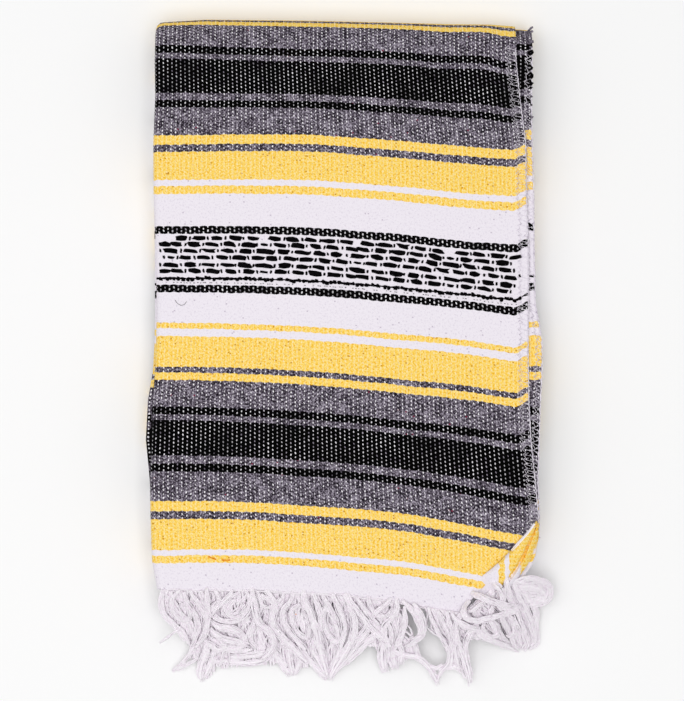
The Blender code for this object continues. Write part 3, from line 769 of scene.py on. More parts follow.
makeOverlock("frontOverlock", overlock["front"])
makeOverlock("secondOverlock", overlock["second"])
print("edges overlocked")

# Second ply: shows past the first along the right selvedge and round the far fold
secondPly = {
    "inset": 9.0 * mm,
    "plainColumns": 14,
    "fineFrom": 0.86,           # the share across it from which it shows
    "across": 310 * mm,
    "warpPairs": 40,            # pairs of columns that the coarse part counts, and the first fine one
    "firstFine": 72,
    "plainDrop": -0.2 * mm,
}


def secondHem(x):
    radius = cornerRadii["nearRight"]
    centreX = edgeAt("secondRight", nearRightY) - radius
    straight = lineAt(coreHem, x)
    beside = np.clip(x - centreX, 0.0, radius)
    return straight + radius - np.sqrt(radius ** 2 - beside ** 2)


def makeSecondPly():
    # columns are coarse where the front ply hides them, then two to each pair of warp ends
    plain, fineFrom = secondPly["plainColumns"], secondPly["fineFrom"]
    fine = 2 * round((1.0 - fineFrom) * secondPly["across"] / weave["warp"])
    columns = []
    for i in range(plain):
        share = fineFrom * i / plain
        pair = 2 * round(share * secondPly["warpPairs"])
        columns.append((weave["warp"] * pair, secondPly["inset"], share))
    for i in range(fine + 1):
        share = fineFrom + (1.0 - fineFrom) * i / fine
        columns.append((weave["warp"] * (secondPly["firstFine"] + i / 2), secondPly["inset"], share))
    points, cloth = wovenPly(columns, secondPattern, secondDepth, "secondRight", secondHem)
    cloth["lift"][:plain] = secondPly["plainDrop"]
    solid = gridSheet(points, cloth)
    piece = newPiece("secondPly", solid, clothFinish, "cloth", "second_ply")
    wallFinish(piece)
    return piece


secondPiece = makeSecondPly()
print("second ply woven")

# Turned corner: the near right corner, folded up on itself in two rolls
turnedCorner = {
    "x": (158.6, 152.4, 145.6, 138.8, 125.8, 113.0, 102.5),
    "y": (-141.0, -150.0, -158.0, -165.3, -178.1, -189.0, -198.5),
    "width": (4.0, 9.5, 14.5, 18.0, 21.0, 22.0, 22.0),
    "share": (-0.05, 0.03, 0.15, 0.30, 0.42, 0.50, 0.56, 0.63, 0.70, 0.84, 1.0),
    "height": (2.6, 5.2, 6.2, 6.0, 5.6, 5.0, 3.0, -3.0, 3.4, 3.4, 0.5),
    "creaseIn": 0.63,           # where the crease is in the table, then its share along the corner
    "crease": (0.44, 0.46, 0.50, 0.61, 0.76, 0.84, 0.86),
    "runsOut": (4.3, 5.5),      # over these places the rolls sink into the hem
    "out": (0.694, -0.720),
    # where the wide yellow ends and white begins on each roll, and how much the turn squeezes it
    "stripeFrom": 304.9 * mm,
    "stripeLeast": 282 * mm,
    "firstRoll": 136.0 * mm,
    "secondRoll": 144.6 * mm,
    "squeeze": 1.3,
    "fullRoll": 16.0,
    "across": 44,
    "along": 60,
    "lip": ((-0.055, 0.9), (0.0, 0.75)),        # the selvedge's white threads: share and radius
    "lipRuns": (0.25, 3.1),
    "lipThins": (2.4, 3.1),
}


def creaseAt(place):
    return float(np.interp(place, np.arange(len(turnedCorner["crease"])), turnedCorner["crease"]))


def cornerPoint(share, place):
    stations = np.arange(len(turnedCorner["x"]))
    x, y, width = (smoothLine(stations, turnedCorner[key], place) for key in ("x", "y", "width"))
    full = min(width / turnedCorner["fullRoll"], 1.0)
    crease, creaseIn = creaseAt(place), turnedCorner["creaseIn"]
    if share < crease:
        rolled = creaseIn * share / crease
    else:
        rolled = creaseIn + (1.0 - creaseIn) * (share - crease) / (1.0 - crease)
    flat = secondDepth / mm * (1.0 - ease(share, -0.05, 0.35))
    lift = max(flat, smoothLine(turnedCorner["share"], turnedCorner["height"], rolled) * full
               + flat * (1.0 - full))
    lift -= (lift + 1.2) * float(ease(place, *turnedCorner["runsOut"]))
    x = (x + turnedCorner["out"][0] * share * width) * mm
    y = (y + turnedCorner["out"][1] * share * width) * mm
    return x, y, topHeight(x, y) + lift * mm


def makeTurnedCorner():
    shares = np.linspace(turnedCorner["share"][0], 1.0, turnedCorner["across"])
    places = np.linspace(len(turnedCorner["x"]) - 1, 0, turnedCorner["along"])
    points = np.array([[cornerPoint(share, place) for place in places] for share in shares])
    lift = 0.12 * mm * np.array([[(i + j) % 2 for j in range(len(places))] for i in range(len(shares))])
    solid = gridSheet(points, {"u": shares, "v": places, "lift": lift})
    layer = solid.loops.layers.uv["cloth"]
    for face in solid.faces:
        spots = [loop[layer].uv.copy() for loop in face.loops]
        past = sum(spot.x for spot in spots) / 4 > creaseAt(sum(spot.y for spot in spots) / 4)
        for loop in face.loops:
            spot = loop.vert.co
            edge = turnedCorner["secondRoll" if past else "firstRoll"]
            edge += 1.2 * mm * noise.noise((spot.x * 220, spot.y * 220, 4.0))
            place = turnedCorner["stripeFrom"] + turnedCorner["squeeze"] * (edge - spot.x)
            if past and place > turnedCorner["stripeFrom"]:
                place = weave["hemPlace"]
            loop[layer].uv = (spot.y, min(max(place, turnedCorner["stripeLeast"]), weave["hemPlace"]))
    piece = newPiece("turnedCorner", solid, clothFinish, "cloth", "turned_corner")
    wallFinish(piece)
    return piece


def makeCornerLip():
    # the selvedge's thick white threads, standing along the turned edge
    curve = yarnCurve("cornerLip")
    for offset, radius in turnedCorner["lip"]:
        places = np.linspace(*turnedCorner["lipRuns"], 30)
        route = [Vector(cornerPoint(offset, place)) + Vector((0, 0, 0.2 * mm)) for place in places]
        radii = [radius * mm * (1.0 + 0.25 * noise.noise((place * 3.0, offset * 50, 0.0)))
                 * float(1.0 - 0.6 * ease(place, *turnedCorner["lipThins"])) for place in places]
        addYarn(curve, route, radii)
    yarnPiece("cornerLip", [curve], yarnFinish, "cloth")


cornerPiece = makeTurnedCorner()
makeCornerLip()
print("corner turned")

# Hidden plies: one solid, layered at its edges in four groups of folded cloth
hiddenPlies = {
    "share": (0.0, 0.06, 0.135, 0.215, 0.27, 0.325, 0.41, 0.49, 0.55, 0.60, 0.69, 0.775,
              0.83, 0.875, 0.96, 1.0),
    "left": (4.0, 1.2, 0.0, 1.2, 4.6, 1.4, 0.3, 1.6, 4.8, 1.8, 1.0, 2.2, 5.2, 4.2, 4.4, 6.5),
    "right": (6.0, 4.0, 3.6, 2.0, 4.4, 2.4, 2.0, 4.4, 5.4, 3.0, 2.4, 4.6, 6.0, 3.4, 3.4, 5.0),
    "hem": (10.0, 4.5, 1.4, 0.3, 0.0, 0.3, 1.4, 4.5, 7.5, 3.4, 3.0, 3.4, 4.6, 1.2, 1.0, 2.2),
    "levels": 56,
    "plies": 14,
    "plyGroove": 0.7,
    "hemGrooves": 0.55,         # the hem side has grooves above this share of the height
    "underFold": 7.75 * mm,
    "frontGroup": 0.85,
    "farFoldStart": 260.0 * mm,
    "topRings": (0.93, 0.72, 0.48, 0.24),
    "groupTops": (0.27, 0.55, 0.83),
    "hemWhite": 12.0 * mm,      # near the hem and the far folds the stack shows its white stripes
    "sidePlace": (102.4, -16.7, 0.0, 6.8),     # each group's shift in the repeat, in millimetres
}


def coreOutline(share):
    # the outline of one level, anticlockwise from the far left: points and the side they are on
    cloth = hiddenPlies
    leftIn, rightIn, hemIn = (
        smoothLine(cloth["share"], cloth[key], share) * mm for key in ("left", "right", "hem"))
    groove = cloth["plyGroove"] * mm * abs(math.cos(math.pi * cloth["plies"] * share)) ** 3
    rightIn = rightIn + groove
    if share > cloth["hemGrooves"]:
        hemIn = hemIn + groove
    near, nearRight, far = (cornerRadii[key] for key in ("nearLeft", "nearRight", "far"))
    outside = "frontLeft" if share > cloth["frontGroup"] else "coreLeft"

    def left(y):
        turned = ease(y, cloth["farFoldStart"] - 2 * far, cloth["farFoldStart"])
        plain = edgeAt(outside, y) + leftIn
        return plain * (1.0 - turned) + (edgeAt("frontLeft", y) + cloth["underFold"]) * turned

    def right(y):
        return edgeAt("secondRight", y) - rightIn

    def hem(x):
        return lineAt(coreHem, x) + hemIn

    def farSide(x):
        half = topHeight(x, farCentre(x)) / 2
        height = share * (2 * half - coreDepth)
        reach = 1.0 - ((height - half) / (half - coreDepth)) ** 2
        return (farCentre(x) + (stack["farReach"] - coreDepth) * np.sqrt(np.maximum(reach, 0.0))
                - stack["gap"] / 2)

    leftX, rightX = left(nearLeftY), right(nearRightY)
    topLeft, topRight = left(cloth["farFoldStart"] + far), right(cloth["farFoldStart"])
    farY = min(farSide(topLeft), farSide(topRight))
    parts = []

    def arc(centre, radius, start, stop, steps, sideName):
        angles = np.radians(start + (stop - start) * np.arange(1, steps) / steps)
        spots = np.stack([centre[0] + radius * np.cos(angles), centre[1] + radius * np.sin(angles)], 1)
        parts.append((spots, sideName))

    y = np.linspace(farY - far, hem(leftX) + near, 140)
    parts.append((np.stack([left(y), y], 1), "left"))
    centre = (left(hem(leftX) + near) + near, hem(leftX) + near)
    arc(centre, near, 180, 270, 6, "near")
    x = np.linspace(centre[0], rightX - nearRight, 76)
    parts.append((np.stack([x, hem(x)], 1), "near"))
    centre = (rightX - nearRight, hem(rightX - nearRight) + nearRight)
    arc(centre, nearRight, 270, 360, 18, "near")
    y = np.linspace(centre[1], farY - far, 120)
    parts.append((np.stack([right(y), y], 1), "right"))
    arc((topRight - far, farY - far), far, 0, 90, 6, "far")
    x = np.linspace(topRight - far, topLeft + far, 60)
    parts.append((np.stack([x, farSide(x)], 1), "far"))
    arc((topLeft + far, farY - far), far, 90, 180, 6, "far")
    spots = np.concatenate([spot for spot, _ in parts])
    sides = [name for spot, name in parts for _ in spot]
    return spots, sides


def makeHiddenPlies():
    cloth = hiddenPlies
    levels = np.linspace(0.0, 1.0, cloth["levels"])
    rings, heights = [], []
    for share in levels:
        outline, sides = coreOutline(share)
        x, y = outline[:, 0], outline[:, 1]
        full = topHeight(x, np.minimum(y, farCentre(x))) - coreDepth
        rings.append(np.stack([x, y, share * full], 1))
        heights.append(share)
    outline = rings[-1][:, :2]
    centre = outline.mean(0)
    for share in cloth["topRings"]:
        inner = centre + (outline - centre) * share
        x, y = inner[:, 0], inner[:, 1]
        rings.append(np.stack([x, y, topHeight(x, np.minimum(y, farCentre(x))) - coreDepth], 1))
        heights.append(1.0)
    around, up = len(sides), len(rings) - 1
    solid = bmesh.new()
    bmesh.ops.create_grid(solid, x_segments=around, y_segments=up, size=0.5)
    places = {}
    for vertex in solid.verts:
        place = round((vertex.co.x + 0.5) * around)
        level = round((vertex.co.y + 0.5) * up)
        vertex.co = rings[level][place % around]
        places[vertex] = (place, level)
    layer = solid.loops.layers.uv.new("cloth")
    for face in solid.faces:
        place = min(places[loop.vert][0] for loop in face.loops)
        level = min(places[loop.vert][1] for loop in face.loops)
        side = sides[place % around]
        group = sum(heights[level] >= top for top in cloth["groupTops"])
        for loop in face.loops:
            spot = loop.vert.co
            if side in ("left", "right"):
                v = weave["middle"] - spot.y + cloth["sidePlace"][group] * mm
                u = spot.z
            else:
                v, u = cloth["hemWhite"] + 0.2 * spot.z, spot.x
            loop[layer].uv = (u, v)
    bmesh.ops.remove_doubles(solid, verts=solid.verts, dist=1e-6)
    bmesh.ops.holes_fill(solid, edges=[edge for edge in solid.edges if edge.is_boundary], sides=0)
    newPiece("hiddenPlies", solid, clothFinish, "cloth", "folded_core")


makeHiddenPlies()
print("hidden plies stacked")

# Fringe: the warp ends left long, in soft bundles that loop and cross on their way to the floor
camera = {"x": -6.8 * mm, "y": 4.25 * mm, "focus": 45.0 * mm, "distance": 2.2, "view": 581.4 * mm}
picture = {"pixel": 0.85 * mm, "x": 350.0, "y": 355.5}     # scale, and the pixel over the origin
fringe = {
    # the edge that the bundles leave, in pixels: the hem, then up along the turned corner
    "edge": ((150, 589), (200, 591), (255, 591), (300, 593), (350, 595), (390, 600), (430, 608),
             (464, 613), (482, 600), (500, 587), (518, 572), (530, 560)),
    "rootHeight": 41.5 * mm,
    "rootsUp": 1.8,             # pixels by which the upper bundles start on the cloth itself
    "reach": 80.0 * mm,         # how far out the bundles come down to the floor
    "cornerReach": 56.0 * mm,   # and round the corner
    "cornerFrom": (485, 515),
    "floor": 1.3 * mm,
    "yarn": 0.47 * mm,
    "fullness": 1.9,            # yarns in a bundle against the chart
    "coreFrom": 1.5,            # bundles at least this wide have a soft core under their yarns
    "core": 0.42,
    "layerLift": 1.35 * mm,
    "spacing": 3.2,             # pixels from one point of a bundle to the next
    "flatTips": (-675.0, -640.0),       # rows, counted upwards, over which the loose ends rise
    "fillerRoots": (-159.0, 0.93, 146.0),       # the first, how close they stand, and the last
    "fillerRise": (96, 0.98),   # past this they climb beside the corner, at this slope
    "hole": (431.7, 650.6, 11.5),
}
# How far the loose ends reach, round from the left end of the hem, in pixels
fringeOutline = (
    (158, 586), (160, 602), (162, 613), (169, 621), (176, 628), (184, 637), (190, 646), (186, 655),
    (178, 664), (186, 667), (197, 660), (198, 668), (195, 676), (198, 683), (205, 682), (212, 675),
    (219, 670), (231, 668), (262, 665), (272, 666), (280, 669), (287, 675), (295, 676), (301, 670),
    (306, 667), (314, 670), (322, 676), (329, 680), (337, 674), (346, 665), (356, 656), (366, 649),
    (375, 646), (379, 653), (380, 668), (384, 673), (399, 670), (402, 663), (410, 660), (420, 663),
    (429, 672), (436, 684), (439, 684), (440, 675), (447, 670), (457, 670), (463, 676), (467, 685),
    (471, 685), (471, 672), (467, 656), (467, 645), (473, 639), (486, 641), (500, 646), (512, 651),
    (523, 654), (535, 649), (540, 642), (538, 628), (539, 613), (547, 606), (552, 598), (553, 588),
    (547, 581), (535, 578), (522, 581), (520, 572), (500, 575), (464, 590),
)
# Looser yarns beneath: the ply they leave, how far under its edge, and how low they run
fillers = {
    "middle": {"count": 330, "hem": wovenHem, "under": 1.0, "height": 1.0, "drop": 1.5 * mm,
               "yarn": 1.05 * mm},
    "lower": {"count": 280, "hem": wovenHem, "under": 2.5, "height": 0.94, "drop": 2.2 * mm,
              "yarn": 1.20 * mm},
}
# Bundles charted one by one: layer, half width in millimetres, yarns, then pixels along the route
bundles = (
    (1, 3.0, 8, (163, 590), (161, 602), (163, 613), (170, 621), (178, 629), (185, 637), (191, 646)),
    (2, 1.1, 4, (181, 628), (176, 631), (169, 637), (159.5, 643)),
    (0, 1.7, 6, (196, 645), (189, 655), (181, 664), (172.5, 671.5)),
    (0, 1.6, 4, (200, 648), (197, 658), (188, 664), (177, 670)),
    (1, 2.4, 7, (171, 591), (174, 604), (181, 615), (190, 624), (193, 634), (196, 644)),
    (2, 2.0, 6, (180, 592), (172, 600), (173, 611), (181, 620), (190, 618), (187, 607), (178, 603)),
    (1, 2.4, 7, (184, 592), (187, 603), (194, 613), (198, 624), (196, 636), (192, 646)),
    (2, 2.4, 7, (190, 592), (197, 601), (203, 611), (207, 622)),
    (1, 2.2, 6, (200, 591), (204, 602), (206, 613), (206, 622)),
    (3, 3.0, 9, (207, 589), (207, 603), (207.5, 617), (206, 630), (201, 640), (194, 646)),
    (2, 2.0, 6, (215, 591), (219, 600), (213, 608), (208, 615)),
    (2, 2.2, 7, (233, 592), (224, 601), (215, 610), (208, 619)),
    (1, 2.4, 7, (240, 592), (230, 597), (224, 606), (228, 615), (238, 618), (245, 610), (242, 601)),
    (2, 2.4, 7, (246, 592), (250, 602), (246, 613), (236, 621), (223, 621), (211, 614)),
    (0, 3.0, 8, (236, 600), (228, 606), (232, 614), (240, 609)),
    (1, 3.2, 9, (209, 620), (220, 627), (233, 629), (243, 636), (243, 646), (232, 650), (219, 647)),
    (2, 3.0, 8, (210, 630), (221, 637), (235, 641), (249, 645)),
    (0, 3.4, 9, (212, 640), (226, 646), (240, 650), (252, 648)),
    (1, 3.2, 8, (203, 640), (211, 645), (219, 650), (226, 646), (221, 640)),
    (1, 3.6, 10, (208, 640), (206, 652), (202, 664), (200, 675), (201.5, 682)),
    (0, 3.0, 7, (216, 646), (213, 657), (209, 668), (204, 678)),
    (2, 0.8, 3, (224, 650), (222, 659), (219, 667)),
    (2, 0.8, 3, (228, 649), (229, 659), (226.5, 668.5)),
    (0, 3.4, 8, (212, 662), (226, 661), (241, 663), (256, 662), (268, 659)),
    (0, 3.2, 8, (222, 655), (238, 657), (254, 655), (270, 653)),
    (3, 3.0, 9, (252, 589), (254, 601), (256, 612), (259, 622), (268, 631), (273, 641), (270, 651),
     (262, 660)),
    (1, 2.6, 7, (257, 591), (262, 604), (258, 616), (252, 628), (250, 640), (256, 648)),
    (2, 1.6, 5, (261, 596), (268, 599), (276, 603), (281, 598)),
    (2, 1.6, 5, (260, 604), (267, 608), (275, 607), (279, 610)),
    (2, 3.2, 9, (266, 591), (274, 603), (273, 614), (272, 625), (281, 636), (291, 646), (301, 657),
     (309, 664)),
    (1, 2.6, 7, (284, 592), (282, 602), (276, 612), (274, 624), (280, 634), (283, 648)),
    (3, 2.6, 7, (293, 592), (290, 602), (283, 611), (284, 622), (291, 634), (300, 644), (308, 652)),
    (1, 2.4, 7, (300, 604), (292, 610), (292, 621), (298, 633), (306, 638), (309, 626), (303, 612)),
    (0, 3.6, 9, (270, 640), (275, 653), (283, 665), (291, 675)),
    (1, 3.0, 8, (287, 640), (289, 652), (290, 664), (293, 675)),
    (0, 3.0, 7, (298, 646), (300, 657), (298, 667), (294, 674)),
    (0, 3.0, 7, (303, 650), (309, 660), (318, 670), (327, 679)),
    (3, 3.4, 10, (303, 590), (305, 603), (311, 617), (316, 631), (319, 645), (323, 660), (328, 678)),
    (2, 2.8, 8, (312, 594), (318, 608), (321, 622), (317, 636), (312, 648), (318, 661), (326, 675)),
    (1, 2.8, 8, (322, 595), (330, 610), (336, 625), (339, 640), (337, 655), (331, 671)),
    (2, 2.8, 8, (332, 594), (338, 606), (343, 618), (345, 631), (341, 646), (335, 662), (329, 679)),
    (1, 2.6, 7, (327, 602), (323, 616), (326, 630), (334, 641), (343, 641)),
    (3, 3.2, 9, (344, 595), (351, 610), (355, 625), (351, 641), (343, 656), (335, 669), (329, 680)),
    (2, 3.2, 9, (347, 595), (354, 607), (362, 617), (371, 627), (381, 637), (390, 646)),
    (1, 2.8, 8, (356, 596), (363, 607), (371, 617), (379, 627), (384, 639), (386, 652)),
    (1, 3.4, 9, (374, 620), (364, 634), (354, 648), (344, 661), (333, 674)),
    (2, 2.4, 7, (370, 622), (360, 634), (349, 646), (341, 658)),
    (0, 3.6, 9, (380, 630), (368, 641), (356, 653), (345, 664)),
    (2, 2.0, 6, (368, 598), (371, 607), (377, 615), (387, 616), (393, 608)),
    (3, 2.2, 6, (391, 600), (384, 606), (377, 611), (373, 618)),
    (2, 2.4, 7, (397, 600), (397, 611), (391, 619), (384, 627), (386, 639), (392, 650)),
    (2, 2.6, 7, (402, 602), (409, 607), (415, 615), (420, 625), (420, 636), (411, 643)),
    (1, 2.8, 8, (405, 606), (405, 619), (403, 631), (399, 642), (394, 652)),
    (3, 2.2, 6, (413, 605), (419, 611), (423, 621), (423, 634), (414, 642), (404, 649)),
    (1, 2.4, 6, (378, 612), (386, 620), (392, 632), (391, 644)),
    (1, 3.6, 10, (384, 638), (382, 651), (382, 662), (385, 672)),
    (0, 3.2, 8, (392, 644), (394, 656), (396, 668)),
    (2, 2.6, 7, (400, 644), (402, 654), (400, 664)),
    (2, 2.8, 8, (392, 652), (405, 655), (418, 658), (428, 666), (434, 676), (438.5, 685)),
    (1, 2.4, 7, (412, 636), (415, 646), (418, 656), (427, 665), (437, 668), (446, 663)),
    (2, 2.2, 6, (428, 609), (432, 621), (438, 632), (444, 642), (449, 652), (448, 663), (440, 673),
     (437, 684)),
    (1, 2.6, 7, (437, 611), (443, 622), (449, 634), (452, 647), (452, 661), (449, 669)),
    (2, 2.4, 7, (447, 613), (451, 627), (454, 641), (456, 655), (459, 668)),
    (0, 3.2, 8, (441, 668), (452, 666), (463, 669)),
    (3, 2.4, 7, (463, 612), (457, 622), (456, 635), (460, 648), (464, 662), (468, 675), (470.5, 686)),
    (2, 2.6, 7, (478, 622), (471, 632), (466, 643), (466, 657), (469, 670), (471, 683)),
    (3, 2.4, 7, (451, 615), (461, 623), (471, 628), (480, 630)),
    (4, 3.0, 9, (469, 602), (464, 609), (466, 617), (475, 621), (489, 618), (504, 614), (520, 609)),
    (5, 2.8, 9, (470, 592), (482, 598), (493, 602), (504, 605), (514, 607)),
    (3, 1.2, 4, (468, 613), (477, 607), (486, 601), (492, 598)),
    (4, 2.6, 8, (490, 580), (500, 589), (503, 598), (500, 607), (510, 609), (520, 605)),
    (3, 2.8, 8, (506, 578), (508, 591), (513, 604), (518, 618), (524, 632), (527, 644), (523, 651)),
    (2, 2.8, 8, (514, 582), (520, 597), (527, 612), (532, 626), (535, 640), (529, 649)),
    (1, 3.2, 9, (521, 588), (531, 602), (536, 614), (536, 628), (537, 641), (529, 650)),
    (2, 3.2, 10, (512, 584), (523, 580), (536, 580), (546, 583), (550.5, 590), (548, 599), (538, 604),
     (526, 604)),
    (1, 3.4, 9, (514, 590), (527, 588), (540, 591), (543, 597), (533, 600), (520, 598)),
    (0, 3.2, 8, (518, 594), (530, 595), (541, 596)),
    (3, 3.0, 8, (476, 624), (480, 634), (492, 640), (504, 645), (516, 650)),
    (2, 2.8, 8, (500, 612), (505, 624), (511, 636), (515, 648)),
    (2, 2.0, 6, (486, 620), (482, 628), (488, 636), (498, 636), (499, 627), (493, 619)),
    (3, 2.2, 6, (504, 612), (513, 621), (514, 632), (505, 637), (498, 630)),
    (1, 3.2, 8, (494, 606), (490, 616), (496, 630), (506, 642), (520, 650)),
    (0, 3.4, 8, (510, 612), (516, 626), (520, 640), (524, 648)),
    (1, 3.8, 11, (505, 586), (511, 600), (517, 616), (523, 632), (527, 648)),
    (1, 3.6, 11, (513, 584), (521, 598), (528, 614), (532, 630), (533, 646)),
    (0, 4.2, 12, (498, 594), (505, 609), (511, 625), (517, 643)),
    (0, 4.0, 12, (508, 590), (519, 604), (526, 620), (529, 646)),
    (1, 4.4, 14, (516, 588), (528, 586), (540, 589), (545, 595), (538, 601), (526, 602)),
)


def underPixel(px, py, height):
    # the spot at this height that the camera sees at a pixel of the picture
    x = (px - picture["x"]) * picture["pixel"]
    y = (picture["y"] - py) * picture["pixel"]
    scale = (camera["distance"] + camera["focus"] - height) / camera["distance"]
    return np.stack([camera["x"] + (x - camera["x"]) * scale, camera["y"] + (y - camera["y"]) * scale,
                     height], 1)


def fromEdge(px, py):
    # how far each pixel lies from the edge that the fringe leaves, in metres
    edge = np.array(fringe["edge"], float)
    nearest = np.full(len(px), np.inf)
    for first, last in zip(edge[:-1], edge[1:]):
        run = last - first
        share = ((px - first[0]) * run[0] + (py - first[1]) * run[1]) / (run @ run)
        share = np.clip(share, 0.0, 1.0)
        away = np.hypot(px - first[0] - share * run[0], py - first[1] - share * run[1])
        nearest = np.minimum(nearest, away)
    return nearest * picture["pixel"]


def fringeHeight(px, py):
    corner = ease(px, *fringe["cornerFrom"])
    reach = fringe["reach"] + (fringe["cornerReach"] - fringe["reach"]) * corner
    down = np.clip(1.0 - fromEdge(px, py) / reach, 0.0, 1.0)
    return fringe["floor"] + (fringe["rootHeight"] - fringe["floor"]) * down ** 1.25


def addBundle(strands, cores, layer, width, yarns, points):
    points = np.array(points, float)
    runs = np.linalg.norm(np.diff(points, axis=0), axis=1)
    places = np.concatenate([[0.0], np.cumsum(runs)])
    count = max(8, int(places[-1] / fringe["spacing"]))
    spots = np.linspace(0.0, places[-1], count)
    share = spots / places[-1]
    px = smoothLine(places, points[:, 0], spots)
    py = smoothLine(places, points[:, 1], spots)
    if layer > 1:
        py = py - fringe["rootsUp"] * (1.0 - ease(share, 0.0, 0.12))
    # bundles are bound at the edge, swell below it and draw together again at the tips
    swell = 0.5 + 0.5 * ease(share, 0.0, 0.22) - 0.2 * ease(share, 0.75, 1.0)
    rise = 0.35 + 0.65 * ease(share, 0.0, 0.15)
    half = width * mm / picture["pixel"] * swell
    along = np.stack([np.gradient(px), np.gradient(py)], 1)
    along /= np.linalg.norm(along, axis=1)[:, None]
    twist = random.uniform(-1.6, 1.6)
    if width >= fringe["coreFrom"]:
        middle = fringeHeight(px, py) + layer * fringe["layerLift"] * rise
        addYarn(cores, underPixel(px, py, middle)[:-1], fringe["core"] * width * mm * swell[:-1])
    yarns = round(yarns * fringe["fullness"])
    for index in range(yarns):
        phase = 2 * math.pi * (index + random.uniform(-0.3, 0.3)) / yarns
        apart = random.uniform(0.4, 1.0)
        turn = phase + twist * share
        side = apart * half * np.cos(turn)
        salt = random.uniform(0, 90)
        wander = np.array([noise.noise((s * 0.09, salt, 0.0)) for s in spots]) * 1.6
        stop = count - (random.randrange(0, 3) if count > 12 else 0)
        x = px - along[:, 1] * (side + wander)
        y = py + along[:, 0] * (side + wander)
        lift = (layer + 0.5 + 0.6 * np.sin(turn) * apart) * fringe["layerLift"] * rise
        height = fringeHeight(x, y) + lift * (0.3 + 0.7 * ease(-py, *fringe["flatTips"]))
        route = underPixel(x, y, height)[:stop]
        radii = fringe["yarn"] * (1.0 + 0.3 * np.array([noise.noise((s * 0.2, salt, 7.0)) for s in spots]))
        radii[stop - 1] *= 0.6
        addYarn(strands, route, radii[:stop])


def insideOutline(px, py):
    inside = False
    for (x0, y0), (x1, y1) in zip(fringeOutline, fringeOutline[1:] + fringeOutline[:1]):
        if (y0 > py) != (y1 > py) and px < x0 + (py - y0) * (x1 - x0) / (y1 - y0):
            inside = not inside
    return inside


def addFiller(curve, index, count, layer):
    # looser yarns below the bundles, from the edge of a ply towards the locks' ends
    start = lockTips["start"][-1] * (index + random.uniform(0.0, 1.0)) / count
    tip = Vector((np.interp(start, lockTips["start"], lockTips["x"]),
                  np.interp(start, lockTips["start"], lockTips["y"])))
    firstRoot, closeness, lastRoot = fringe["fillerRoots"]
    riseFrom, slope = fringe["fillerRise"]
    root = Vector((min(firstRoot + start * closeness, lastRoot), 0.0))
    root.y = float(lineAt(layer["hem"], root.x * mm)) / mm + layer["under"]
    if root.x > riseFrom:
        root.y += (root.x - riseFrom) * slope
    end = root.lerp(tip, random.uniform(0.78, 0.97))
    salt = random.uniform(0, 90)
    share = np.linspace(0.0, 1.0, 13)
    swing = [noise.noise((salt, s * 2.6, 0.5)) * 15.0 * math.sin(math.pi * min(s * 1.1, 1.0)) for s in share]
    px = picture["x"] + (root.x + (end.x - root.x) * share + swing) * mm / picture["pixel"]
    py = picture["y"] - (root.y + (end.y - root.y) * share) * mm / picture["pixel"]
    holeX, holeY, radius = fringe["hole"]
    if np.min(np.hypot(px - holeX, py - holeY)) < radius + 3.0:
        return
    inside = [insideOutline(a, b) for a, b in zip(px, py)]
    count = inside.index(False, 1) if False in inside[1:] else len(inside)
    if count < 4:
        return
    px, py, share = px[:count], py[:count], share[:count]
    height = fringeHeight(px, py) * layer["height"] - layer["drop"] + random.uniform(-0.8, 0.8) * mm
    height = np.maximum(height, fringe["floor"])
    radii = layer["yarn"] * (1.0 + 0.2 * np.array([noise.noise((salt, s * 6.0, 3.0)) for s in share]))
    addYarn(curve, underPixel(px, py, height), radii)


# Where the locks' ends lie on the floor, in millimetres, for fillers in turn from the left
lockTips = {
    "start": (0, 8, 18, 25, 32, 40, 55, 80, 95, 110, 120, 138, 148, 160, 175, 183, 193, 203, 213,
              224, 234, 244, 256, 268, 282, 298, 306, 312, 320, 327),
    "x": (-160, -150, -141, -134, -127, -119, -104, -79, -64, -49, -38, -18, -8, 5, 19, 28, 39,
          50, 62, 76, 87, 98, 108, 119, 133, 150, 160, 163, 166, 168),
    "y": (-235, -250, -253, -262, -280, -276, -268, -268, -268, -275, -269, -279, -274, -262,
          -252, -272, -270, -262, -266, -282, -268, -280, -246, -246, -250, -252, -250, -240,
          -214, -200),
}


# The last picks of the weft, pulled loose along the hem
hemThreads = {"drops": (0.4, -0.6, 1.2), "from": -161 * mm, "to": 96 * mm, "radius": 0.55 * mm}


def addHemThreads(curve):
    for index, drop in enumerate(hemThreads["drops"]):
        x = np.linspace(hemThreads["from"], hemThreads["to"], 150)
        wave = np.array([noise.noise((spot * 45, index * 9.0, 1.0)) for spot in x])
        y = frontHem(x) - drop * mm + 2.0 * mm * wave
        z = topHeight(x, y) + (0.2 - 0.5 * index) * mm
        addYarn(curve, np.stack([x, y, z], 1), [hemThreads["radius"]] * len(x))


def makeFringe(name, node, layers, beneath=None):
    strands = yarnCurve(name + "Strands", thin=True)
    cores = yarnCurve(name + "Cores")
    for layer, width, yarns, *points in bundles:
        if layer in layers:
            addBundle(strands, cores, layer, width, yarns, points)
    if beneath:
        for index in range(beneath["count"]):
            addFiller(strands, index, beneath["count"], beneath)
    if 2 in layers:
        addHemThreads(strands)
    piece = yarnPiece(name, [strands, cores], yarnFinish, "fringe", node)
    print(name, "faces", len(piece.data.polygons))
    return piece


fringeTop = makeFringe("fringeTop", "fringe_front", (2, 3, 4, 5))
makeFringe("fringeMiddle", "fringe_middle", (1,), fillers["middle"])
makeFringe("fringeLower", "fringe_lower", (0,), fillers["lower"])
print("fringe laid")

